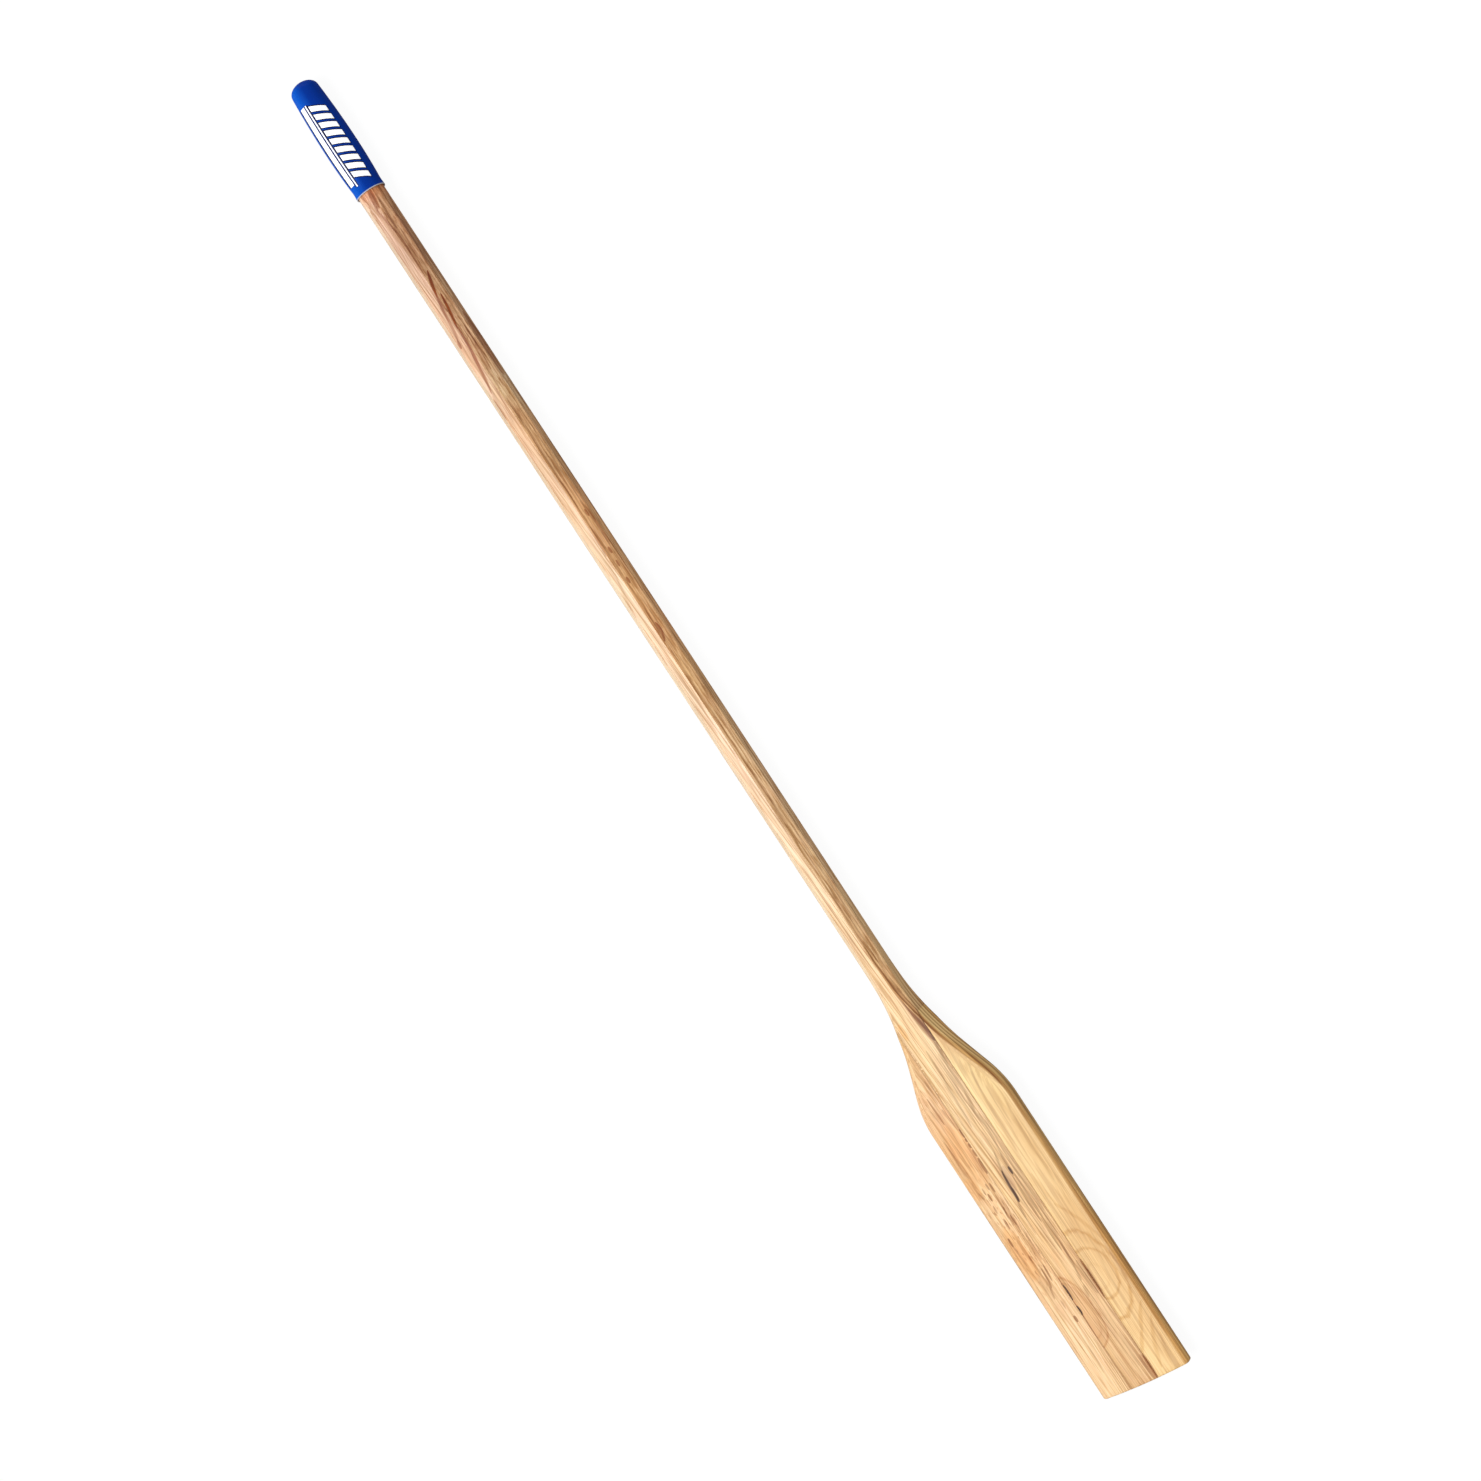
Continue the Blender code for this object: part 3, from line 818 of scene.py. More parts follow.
# %% A streak as a shader group
net, given = new_group("streak", "ShaderNodeTree", {
    "Along": 0.0, "Across": 0.0, "Start": 0.0, "End": 0.1, "From": 0.0, "To": 0.0, "Bow": 0.0,
    "Width": 0.001, "Strength": 1.0}, {"Mask": "Float"})
share = net.share(given["Along"], given["Start"], given["End"])
swell = share * (1 - share) * 4
line = net.between(share, given["From"], given["To"]) + given["Bow"] * swell
reach = net.math("SQRT", swell) * given["Width"] * 1.45
mask = net.share(abs(given["Across"] - line), reach, reach * 0.3, smooth=True)
STREAK = close_group(net, {"Mask": mask * given["Strength"]})

# %% An oval ring line as a shader group
net, given = new_group("oval_ring", "ShaderNodeTree", {
    "Along": 0.0, "Across": 0.0, "Middle Along": 0.0, "Middle Across": 0.0, "Back Reach": 0.05,
    "Front Reach": 0.05, "Half Height": 0.02, "Width": 0.001, "Ragged": 0.11},
    {"Line": "Float", "Inside": "Float"})
from_middle = given["Along"] - given["Middle Along"]
reach = net.between(from_middle > 0, given["Back Reach"], given["Front Reach"])
aside = (given["Across"] - given["Middle Across"]) / given["Half Height"]
lengthwise = from_middle / reach
ragged = net.noise(given["Along"] * 60, given["Across"] * 150, 0.0, detail=3.0) - 0.5
far = net.math("SQRT", lengthwise * lengthwise + aside * aside) + ragged * given["Ragged"] * 2
OVAL_RING = close_group(net, {
    "Line": net.share(abs(far - 1) * given["Half Height"], given["Width"], 0, smooth=True),
    "Inside": net.share(far, 1.08, 0.8, smooth=True)})

# %% [markdown]
# ## How a board gets its colour
#
# A base colour changes slowly along the board. Every pattern then stains it, and painted shade
# darkens it in the same way: a stain multiplies the colour, as a clear varnish over darker wood
# does, so no stain turns it grey by accident. The layers of the wood lie level in these boards,
# so on the sides the patterns hardly change from left to right, and their lines follow the
# outline round the throat. The same steps serve all three boards, and each board has its own
# numbers, which were chosen by comparing one render after the other with the photograph.

# %% Colours, stops and stains
def linear(red, green, blue):
    """A colour as seen, from 0 to 255, as the shader needs it."""
    return tuple(((level / 255 + 0.055) / 1.055) ** 2.4 for level in (red, green, blue)) + (1.0,)


def zones(net, along, colours):
    """A colour for each place along the oar, between (metres, colour) stops."""
    node = net.add("ShaderNodeValToRGB", {0: net.share(along, HANDLE_END_X, TIP_X)}).socket.node
    stops = node.color_ramp.elements
    while len(stops) < len(colours):
        stops.new(0.5)
    for stop, (place, colour) in zip(stops, colours):
        stop.position = (place - HANDLE_END_X) / (TIP_X - HANDLE_END_X)
        stop.color = linear(*colour)
    return Wire(net, node.outputs[0])


def blend(net, share, first, last, kind="MIX"):
    """A colour between two others."""
    return net.add("ShaderNodeMix", {0: share, 6: first, 7: last}, 2, data_type="RGBA", blend_type=kind)


def stain_or_painted_shade(net, colour, mask, red, green, blue):
    """The colour multiplied by a stain or by painted shade where its mask says so."""
    return blend(net, mask, colour, (red, green, blue, 1.0), "MULTIPLY")

# %% A board's material while it is being written
SIDE_BEGINS = 0.12
SIDE_FULL = 0.5
LEVEL_LAYERS = 0.88


class Board:
    """A board's net and its colour so far, with the places that its patterns need."""

    def __init__(self, material, wander, colours):
        self.net = emptied(material)
        self.along = self.net.use(BOARD_PLACE, Wander=wander)
        self.across = self.along.other("Across")
        self.beside = self.along.other("Beside")
        # How far a face turns from the top to the right, 0 to 1, and to the left, 0 to -1
        self.facing = self.net.split(self.net.add("ShaderNodeTexCoord", output="Normal"))[1]
        self.on_side = self.net.share(self.facing, SIDE_BEGINS, SIDE_FULL)
        self.upright = self.net.share(self.facing, 0.75, 0.95)
        level = 1 - self.net.share(abs(self.facing), SIDE_BEGINS, SIDE_FULL) * LEVEL_LAYERS
        self.solid = {"Along": self.along, "Beside": self.beside * level,
                      "Height": self.along.other("Height")}
        self.colour = zones(self.net, self.along, colours)
        self.dark = 0

    def pattern(self, group, **settings):
        """A solid pattern of the wood, with this board's own values."""
        named = {key.replace("_", " "): value for key, value in settings.items()}
        return self.net.use(group, **self.solid, **named)

    def stain_or_painted_shade(self, mask, red, green, blue):
        self.colour = stain_or_painted_shade(self.net, self.colour, mask, red, green, blue)

    def streak(self, start, end, first, last, bow, width, strength):
        """The mask of one streak, with its places along the oar in m and its sizes across in mm."""
        return self.net.use(STREAK, Along=self.along, Across=self.across, Start=start, End=end,
                            From=first / 1000, To=last / 1000, Bow=bow / 1000,
                            Width=width / 1000, Strength=strength)

    def streaks(self, tint, marks):
        """Stain a list of streaks with one tint, and remember them for the varnish."""
        total = 0
        for mark in marks:
            total = self.net.math("MAXIMUM", total, self.streak(*mark))
        self.stain_or_painted_shade(total, *tint)
        self.dark = self.net.math("MAXIMUM", self.dark, total)
        print(f"streaks stained: {len(marks)}")

    def oval(self, middle, aside, back, front, half, width=2.0):
        """The line and the inside of an oval ring, with sizes across in mm."""
        line = self.net.use(OVAL_RING, **{
            "Along": self.along, "Across": self.across, "Middle Along": middle,
            "Middle Across": aside / 1000, "Back Reach": back, "Front Reach": front,
            "Half Height": half / 1000, "Width": width / 1000})
        return line, line.other("Inside")

# %% [markdown]
# ## The varnish
#
# Satin varnish dulls the shine and fills most of the grain, so the relief is slight: fibres
# and the dark streaks sink by hundredths of a millimetre, and the film is a little uneven
# where the brush went. One group makes height and roughness for all three boards.

# %% The varnish as a shader group
net, given = new_group("varnish", "ShaderNodeTree", {
    **SOLID_PLACE, "Fibres": 0.0, "Sunken": 0.0, "Grain Depth": 0.00002,
    "Brush Marks": 0.00003, "Dull": 0.42}, {"Relief": "Float", "Roughness": "Float"})
brushed = net.noise(given["Along"] * 40, given["Beside"] * 260, given["Height"] * 260)
grain = (given["Fibres"] + given["Sunken"] * 2) * given["Grain Depth"]
VARNISH = close_group(net, {
    "Relief": brushed * given["Brush Marks"] - grain,
    "Roughness": given["Dull"] + (brushed - 0.5) * 0.16 + given["Sunken"] * 0.15})

# %% Varnish a board
def varnish(board, fibres, dull):
    """Finish a board's material with its colour under the varnish."""
    net = board.net
    film = net.use(VARNISH, **board.solid, Fibres=fibres, Sunken=board.dark, Dull=dull)
    bump = net.add("ShaderNodeBump", {"Height": film, "Strength": 1.0, "Distance": 1.0})
    shader = net.add("ShaderNodeBsdfPrincipled", {
        "Base Color": board.colour, "Roughness": film.other("Roughness"), "Normal": bump,
        "Specular IOR Level": 0.3, "Coat Weight": 0.12, "Coat Roughness": 0.25})
    net.add("ShaderNodeOutputMaterial", {"Surface": shader})
    print(f"{len(net.tree.nodes)} nodes in the board's material")

# %% [markdown]
# ## What all three boards share
#
# The boards were planed, shaped and varnished together. Fine and coarse fibres darken them,
# and the glue lines show brown. The sides that face right, away from the key lamp, get painted
# shade that makes them more orange than the face, and low down the upright sides get a little
# painted shade. They also show the edges of the wood's level layers, as brown lines. At the
# throat's right shoulder painted shade makes the fairing darker than the blade's face, and
# low down its upright side gets a brown painted shade.

# %% Stain a board, and paint shade on it, with what it shares with the others
LAYERS_HEART = -0.3


def common_wood(board, fine, coarse, late, seam_strength, lean=0.0, side_lines=0.65):
    """Fibres of both kinds, late wood, glue lines, and painted shade on the right-hand sides and low on
    the upright sides.
    """
    net = board.net
    threads = board.pattern(FIBRES, Length=0.035, Thickness=0.0007, Lean=lean, Seed=2.0)
    bands = board.pattern(FIBRES, Length=0.10, Thickness=0.0020, Lean=lean, Seed=9.0)
    board.stain_or_painted_shade(threads * fine, 0.74, 0.62, 0.48)
    board.stain_or_painted_shade(net.share(bands, 0.42, 0.78) * coarse, 0.62, 0.50, 0.36)
    board.stain_or_painted_shade(late, 0.84, 0.72, 0.54)
    seam = (CORE_EDGE_Y + WING_EDGE_Y) / 2
    beside_seam = abs(abs(board.beside) - seam)
    breaks = board.pattern(PATCHES, Length=0.02, Breadth=0.02, Seed=3.0)
    seam_line = net.share(beside_seam, 0.0017, 0.0003) * (1 - breaks * 0.6)
    board.stain_or_painted_shade(seam_line * seam_strength, 0.5, 0.36, 0.22)

    # The sides that face right get painted shade, and the edges of the layers lie on them
    board.stain_or_painted_shade(board.on_side, 1.0, 0.95, 0.82)
    lines = board.pattern(FIBRES, Length=0.20, Thickness=0.0030, Lean=lean * 0.5, Seed=31.0)
    board.stain_or_painted_shade(net.share(lines, 0.45, 0.85) * 0.38, 0.42, 0.30, 0.18)
    layers = net.use(GROWTH_RINGS, **{
        "Along": board.along, "Beside": board.solid["Beside"], "Heart Height": LAYERS_HEART,
        "Height": board.solid["Height"] * (1 - board.upright * 0.64), "Taper": 0.003,
        "Spacing": 0.0031, "Waver": 0.0016})
    board.stain_or_painted_shade(layers * (lines * 0.6 + 0.4) * board.on_side * side_lines, 0.40, 0.28, 0.17)
    # Painted shade: the upright sides get darker towards the bottom
    board.stain_or_painted_shade(net.share(board.solid["Height"], 0.002, -0.006) * board.upright, 0.86, 0.80, 0.73)
    return threads

# %% Paint shade on the throat's right shoulder, with the layers' edges
def throat_fairing(board):
    """Painted shade on the fairing, and on the upright side the layers' edges and a brown painted shade
    low down.
    """
    # Painted shade on the fairing of the throat's right shoulder
    painted_fairing_shade = board.streak(0.488, 0.610, 11.0, 53.5, 0.0, 5.6, 0.7)
    board.stain_or_painted_shade(painted_fairing_shade * (1 - board.upright), 0.78, 0.69, 0.60)
    edges = board.net.use(GROWTH_RINGS, **{
        "Along": board.along, "Height": board.solid["Height"], "Heart Height": LAYERS_HEART,
        "Taper": 0.0, "Spacing": 0.0074, "Waver": 0.0010})
    shoulder = board.net.share(board.along, 0.36, 0.46) * board.net.share(board.along, 0.70, 0.60)
    board.stain_or_painted_shade(edges * board.on_side * shoulder, 0.42, 0.28, 0.16)
    # Painted shade, brown, low on the shoulder's upright side
    painted_low_shade = board.net.share(board.solid["Height"], -0.002, -0.012) * board.upright
    board.stain_or_painted_shade(painted_low_shade * shoulder, 0.66, 0.50, 0.34)

# %% [markdown]
# ## The middle board
#
# It is tan and runs the whole length. Near the grip its front is deeper in tone, the fibres
# run wilder, and strong red-brown streaks cross the ridge of the loom. In the blade its
# streaks are grey-brown, with a black resin pocket, and one growth ring comes to the surface
# as a brown lens. Its colour stops are close together, because such a long board was never
# one even colour.

# %% Paint the middle board
core = Board(CORE_WOOD, 0.0006, (
    (-0.892, (252, 176, 124)), (-0.868, (252, 215, 189)), (-0.784, (228, 192, 166)),
    (-0.715, (248, 215, 186)), (-0.646, (241, 202, 171)), (-0.605, (249, 211, 175)),
    (-0.576, (255, 229, 198)), (-0.508, (246, 207, 167)), (-0.440, (237, 201, 162)),
    (-0.371, (250, 215, 177)), (-0.235, (254, 231, 199)), (-0.165, (253, 222, 188)),
    (-0.095, (255, 228, 194)), (0.075, (253, 222, 189)), (0.205, (254, 226, 188)),
    (0.430, (254, 223, 176)), (0.527, (250, 220, 171)), (0.620, (248, 218, 170)),
    (0.730, (245, 211, 159)), (0.840, (243, 206, 153)), (0.940, (243, 206, 155)),
    (0.980, (232, 194, 143)), (1.067, (233, 195, 144))))
late = core.pattern(GROWTH_RINGS, Heart_Beside=0.012, Heart_Height=-0.036, Taper=0.012,
                    Spacing=0.0042, Waver=0.0022)
core_threads = common_wood(core, 0.5, 0.95, late * 0.5, 0.55, -0.05)
core.stain_or_painted_shade(core.pattern(PATCHES, Length=0.03, Breadth=0.008, Seed=5.0) * 0.5, 1.0, 0.92, 0.95)
core.stain_or_painted_shade(core.pattern(PATCHES, Length=0.045, Breadth=0.006, Seed=8.0) * 0.45, 0.9, 0.9, 0.94)
near_grip = core.net.share(core.along, -0.40, -0.56)
wild = core.pattern(FIBRES, Length=0.07, Thickness=0.0015, Lean=0.12, Seed=21.0)
core.stain_or_painted_shade(core.net.share(wild, 0.58, 0.85) * near_grip * 0.7, 0.6, 0.42, 0.26)
core.stain_or_painted_shade(core.pattern(PORES) * 0.35, 0.62, 0.5, 0.38)
past_mouth = core.net.share(core.along, -0.85, -0.79)
core.stain_or_painted_shade((1 - core.on_side) * near_grip * past_mouth, 0.915, 0.88, 0.86)

# %% [markdown]
# ### Its red-brown streaks
#
# Each entry of the list is one streak: start and end along the oar in metres, then from and
# to across it, bow and width, all in millimetres, and its strength.

# %% Streak the loom near the grip
RED_BROWN = (0.38, 0.13, 0.01)
core.streaks(RED_BROWN, (
    (-0.888, -0.858, 1.2, -2.0, 0.0, 2.3, 0.75), (-0.888, -0.855, -2.6, -6.5, 0.3, 2.0, 0.6),
    (-0.860, -0.815, -6.3, -0.4, -0.4, 1.7, 0.6), (-0.851, -0.822, 0.3, 2.7, 0.2, 1.7, 0.55),
    (-0.830, -0.745, 0.6, -1.2, 0.4, 1.6, 0.55), (-0.752, -0.712, 5.9, -2.9, -0.5, 2.5, 1.0),
    (-0.718, -0.688, -2.6, -2.0, -0.3, 1.7, 0.7), (-0.724, -0.676, 0.0, -8.2, -1.0, 1.9, 0.8),
    (-0.714, -0.668, -2.4, -9.6, 0.5, 1.3, 0.5), (-0.716, -0.661, 4.2, -2.9, 0.5, 2.4, 1.0),
    (-0.669, -0.596, -1.6, -6.9, 1.3, 2.1, 0.8), (-0.624, -0.562, -5.4, -12.6, 0.9, 2.2, 0.75),
    (-0.700, -0.640, -7.2, -13.6, 2.0, 2.0, 0.6), (-0.650, -0.636, -12.4, -13.8, 0.0, 2.2, 0.7),
    (-0.596, -0.520, -9.5, -15.5, 0.8, 1.6, 0.35), (-0.556, -0.520, -14.8, -16.6, 0.0, 1.6, 0.45),
    (-0.665, -0.590, 7.6, 5.0, 0.5, 1.5, 0.45), (-0.640, -0.560, 3.4, 0.6, 0.3, 1.5, 0.45),
    (-0.680, -0.575, 16.1, 15.8, 0.0, 3.2, 0.6), (-0.860, -0.760, 12.5, 12.9, 0.4, 2.0, 0.35),
    (-0.820, -0.770, 7.2, 5.0, -0.4, 1.5, 0.35), (-0.365, -0.300, 11.0, 10.0, 0.2, 1.4, 0.5),
    (-0.360, -0.348, 7.1, 7.2, 0.0, 1.8, 0.7), (-0.299, -0.288, 5.9, 5.8, 0.0, 1.8, 0.7),
    (-0.278, -0.267, 5.1, 5.0, 0.0, 1.8, 0.65), (-0.251, -0.240, 4.1, 4.0, 0.0, 2.0, 0.7),
    (-0.177, -0.157, 3.2, 4.0, 1.0, 1.7, 0.8), (-0.162, -0.147, 3.8, 0.2, 0.3, 1.8, 0.75),
    (-0.176, -0.152, 1.6, 2.2, 0.5, 1.3, 0.5), (-0.335, -0.288, 0.5, -3.7, 0.2, 2.0, 0.4),
))

# %% [markdown]
# ### Its softer streaks, and the throat
#
# Long pale-brown lines run on down the loom. At the throat they darken, with a wedge of painted
# shade between them where the slanted facet runs out. The left facet and the throat's upright
# flank get painted light that makes them paler than the front, and the painted shade on the
# loom's right-hand sides changes along the way, so it has stops of its own.

# %% Streak the rest of the loom
SOFT_BROWN = (0.66, 0.53, 0.40)
core.streaks(SOFT_BROWN, (
    (-0.606, -0.480, -3.4, -7.0, 0.3, 1.3, 0.5), (-0.575, -0.490, 7.3, 6.2, 0.2, 1.4, 0.6),
    (-0.550, -0.460, 2.0, 0.6, 0.2, 1.4, 0.6), (-0.500, -0.250, 0.4, -0.4, 0.4, 1.4, 0.5),
    (-0.245, -0.140, 0.9, -0.9, 0.3, 2.2, 0.8), (-0.140, 0.030, -0.6, 0.2, 0.3, 1.5, 0.6),
    (0.000, 0.250, 0.6, 0.6, 0.2, 1.3, 0.75), (0.240, 0.400, 0.6, -0.3, 0.0, 1.4, 0.7),
    (-0.264, -0.205, -6.0, -15.0, -0.8, 1.7, 0.5), (-0.250, -0.196, -8.6, -15.4, -0.4, 1.3, 0.4),
    (-0.300, -0.250, -4.4, -8.4, 0.0, 1.3, 0.35), (-0.150, -0.117, -15.0, -16.0, 0.0, 1.4, 0.6),
    (-0.455, -0.330, 5.6, 4.0, 0.3, 1.5, 0.5), (-0.430, -0.250, 12.4, 12.2, 0.0, 1.6, 0.5),
    (-0.120, 0.060, 7.8, 6.4, 0.4, 1.4, 0.45), (-0.080, 0.000, -4.6, -9.6, 0.0, 1.4, 0.3),
    (0.020, 0.110, -5.0, -11.0, 0.4, 1.5, 0.35), (0.060, 0.180, 9.6, 8.2, 0.2, 1.4, 0.45),
    (0.120, 0.195, -17.6, -18.4, 0.0, 2.2, 0.6), (0.180, 0.340, 4.4, 3.2, 0.3, 1.3, 0.4),
    (0.344, 0.380, 2.3, 3.4, 0.2, 1.5, 0.8), (0.356, 0.390, -3.6, -1.8, 0.2, 1.5, 0.6),
    (0.370, 0.458, -0.6, 3.0, -0.7, 2.2, 1.0), (0.448, 0.503, 2.4, 11.0, -1.0, 2.3, 1.0),
    (0.425, 0.520, -8.0, -16.5, 1.0, 1.6, 0.3), (0.060, 0.300, -3.0, -4.6, 0.0, 1.2, 0.25),
))

# %% Darken the throat
DARK_BROWN = (0.50, 0.36, 0.24)
core.streaks(DARK_BROWN, (
    (0.330, 0.445, 16.4, 16.6, 0.0, 2.0, 0.6), (0.372, 0.430, 14.2, 14.6, 0.1, 1.6, 0.7),
    (0.420, 0.463, 15.2, 13.2, 0.6, 1.8, 0.8), (0.456, 0.504, 13.6, 10.6, 0.4, 1.8, 0.9),
    (0.424, 0.434, 6.2, 7.6, 0.0, 2.6, 0.35),
))
# A wedge of painted shade where the slanted facet runs out at the notch, on the wood that faces up
painted_wedge_shade = core.streak(0.400, 0.513, 8.0, 10.6, 0.0, 8.0, 1.0)
core.stain_or_painted_shade(painted_wedge_shade * (1 - core.on_side), 0.36, 0.20, 0.06)

# %% Paint light on the left facet and the throat's flank, and paint shade on the sides
# Painted light on the left facet, which faces the lamps
painted_light_left_facet = core.net.share(core.facing, -0.3, -0.6) * core.net.share(core.along, 0.50, 0.40)
core.colour = blend(core.net, painted_light_left_facet * 0.45, core.colour, linear(255, 236, 204))
# Painted light on the throat's upright flank
painted_light_flank = core.net.share(core.facing, 0.8, 0.95) * core.net.share(core.along, 0.25, 0.42)
core.colour = blend(core.net, painted_light_flank * 0.6, core.colour, linear(255, 219, 155))
throat_fairing(core)
# Painted shade on the right-hand sides, changing along the loom
painted_side_shade = zones(core.net, core.along, (
    (-0.770, (238, 228, 216)), (-0.640, (252, 254, 254)), (-0.510, (247, 248, 249)),
    (-0.370, (253, 242, 230)), (-0.233, (255, 235, 216)), (-0.095, (250, 238, 222)),
    (0.040, (255, 255, 252)), (0.320, (253, 250, 255))))
core.colour = blend(core.net, core.on_side, core.colour, painted_side_shade, "MULTIPLY")

# %% [markdown]
# ### Its marks in the blade
#
# Here come grey-brown streaks, then the resin pocket with the small dark marks, and last the
# brown lens with its outline. A streak's list has the same order of numbers as before.

# %% Streak the middle of the blade
GREY_BROWN = (0.60, 0.55, 0.50)
core.streaks(GREY_BROWN, (
    (0.500, 0.556, 10.9, 5.8, -0.4, 2.3, 0.8), (0.545, 0.602, 6.0, 6.6, -0.5, 2.2, 0.75),
    (0.590, 0.628, 6.6, 1.9, 0.3, 2.2, 0.9), (0.616, 0.648, 2.0, 4.5, 0.0, 2.0, 0.7),
    (0.518, 0.568, -7.9, -8.7, 0.2, 1.7, 0.75), (0.560, 0.642, -8.8, -12.7, 0.4, 1.7, 0.65),
    (0.530, 0.610, 2.8, -1.0, 0.4, 1.5, 0.5), (0.560, 0.640, -2.4, -4.6, 0.3, 1.4, 0.45),
    (0.628, 0.700, 5.7, 0.8, 0.6, 1.7, 0.8), (0.640, 0.735, 8.0, 4.4, 0.8, 1.6, 0.7),
    (0.655, 0.745, 3.2, -0.6, 0.3, 1.5, 0.7), (0.676, 0.790, 9.8, 8.2, 0.3, 1.6, 0.6),
    (0.690, 0.728, 1.2, -1.2, 0.0, 2.2, 1.0), (0.700, 0.830, 6.2, 5.6, 0.2, 1.5, 0.6),
    (0.720, 0.802, 1.3, 1.2, 0.3, 1.9, 1.0), (0.726, 0.802, -2.6, -3.4, -0.2, 1.8, 1.0),
    (0.794, 0.845, 1.0, 3.4, 0.2, 1.7, 0.85), (0.795, 0.850, -1.2, -1.7, 0.0, 1.7, 0.9),
    (0.834, 0.884, 2.9, 0.2, 0.3, 1.8, 0.95), (0.878, 0.899, 0.4, -1.6, 0.0, 1.6, 0.8),
    (0.684, 0.718, -5.2, -11.0, -0.4, 1.7, 0.9), (0.652, 0.700, -4.0, -6.2, 0.3, 1.4, 0.5),
    (0.758, 0.790, -14.8, -18.8, -0.8, 1.7, 0.9), (0.778, 0.815, -18.6, -19.4, 0.0, 1.3, 0.5),
    (0.700, 0.790, -15.0, -19.0, -1.0, 1.3, 0.35), (0.870, 0.925, 7.4, 7.8, 0.3, 4.5, 0.5),
    (0.745, 0.790, -8.0, -9.6, 0.0, 1.3, 0.4), (0.905, 0.925, -2.6, -6.0, 0.0, 2.6, 0.5),
    (0.985, 1.040, 2.5, 1.0, 0.3, 2.2, 0.3),
))

# %% Add the resin pocket and the small dark marks
POCKET_SHADE = (0.80, 0.76, 0.84)
RESIN_BLACK = (0.10, 0.045, 0.02)
core.streaks(POCKET_SHADE, ((0.708, 0.748, -6.4, -10.6, -0.3, 6.0, 0.75),))
core.streaks(RESIN_BLACK, (
    (0.713, 0.764, -11.2, -14.2, -0.6, 2.0, 0.9), (0.738, 0.764, -12.6, -14.0, 0.0, 2.3, 1.0),
    (0.712, 0.725, -0.4, -0.5, 0.0, 1.8, 0.9), (0.893, 0.919, -26.6, -26.6, 0.0, 1.8, 1.0),
    (0.928, 0.943, -26.6, -26.6, 0.0, 2.1, 1.0),
))

# %% Tint the lens and varnish the board
RING_BROWN = (0.55, 0.36, 0.24)
lens_line, lens = core.oval(0.950, -28.0, 0.067, 0.046, 21.5, 1.6)
inner_line = core.oval(0.944, -28.0, 0.052, 0.038, 17.0, 1.3)[0]
core.stain_or_painted_shade(lens * 0.8, 0.91, 0.84, 0.80)
core.stain_or_painted_shade(core.net.math("MAXIMUM", lens_line * 0.8, inner_line * 0.4), 0.74, 0.56, 0.40)
core.streaks(RING_BROWN, (
    (0.882, 0.982, -26.8, -27.0, 0.0, 1.5, 0.8), (1.026, 1.067, 9.6, 9.6, 0.0, 4.0, 0.5),
    (0.872, 0.936, 11.8, 11.8, 0.0, 1.4, 0.9), (1.028, 1.067, 11.8, 11.8, 0.0, 1.8, 1.0),
))
core.stain_or_painted_shade(core.oval(0.482, -20.5, 0.014, 0.014, 3.6)[1] * 0.6, 1.0, 0.78, 0.5)
varnish(core, core_threads, 0.42)

# %% [markdown]
# ## The left wing board
#
# The peach-coloured board has short dark pores and ticks, two orange clouds near its edge and
# a darker lens against the glue line. Pores are a pattern, but the ticks are placed one by
# one, because their rows are what catches the eye on this board.

# %% Paint the left wing board
left = Board(LEFT_WOOD, 0.0006, (
    (0.48, (250, 217, 162)), (0.54, (250, 215, 169)), (0.60, (249, 211, 167)),
    (0.66, (249, 207, 154)), (0.72, (249, 214, 166)), (0.78, (250, 216, 170)),
    (0.84, (247, 208, 157)), (0.90, (249, 214, 168)), (0.96, (253, 223, 181)),
    (1.067, (252, 220, 174))))
late = left.pattern(GROWTH_RINGS, Heart_Beside=-0.09, Heart_Height=-0.02, Taper=0.02,
                    Spacing=0.0055, Waver=0.003)
left_threads = common_wood(left, 0.6, 0.9, late * 0.5, 0.3)
left.stain_or_painted_shade(left.pattern(PATCHES, Length=0.03, Breadth=0.010, Seed=4.0) * 0.5, 1.0, 0.92, 0.94)
ticked = left.net.share(abs(left.along - 0.80), 0.14, 0.05)
pores = left.pattern(PORES, Length=0.011, Thickness=0.0014, Rarity=0.58)
left.stain_or_painted_shade(pores * ticked * 0.8, 0.55, 0.42, 0.30)
left.stain_or_painted_shade(left.oval(0.676, -41.0, 0.054, 0.050, 17.0)[1] * 0.7, 0.96, 0.86, 0.76)
left.stain_or_painted_shade(left.oval(0.830, -52.0, 0.046, 0.048, 11.0)[1] * 0.75, 0.98, 0.83, 0.64)
left.stain_or_painted_shade(left.oval(0.722, -58.5, 0.020, 0.018, 9.0)[1] * 0.6, 0.98, 0.80, 0.60)

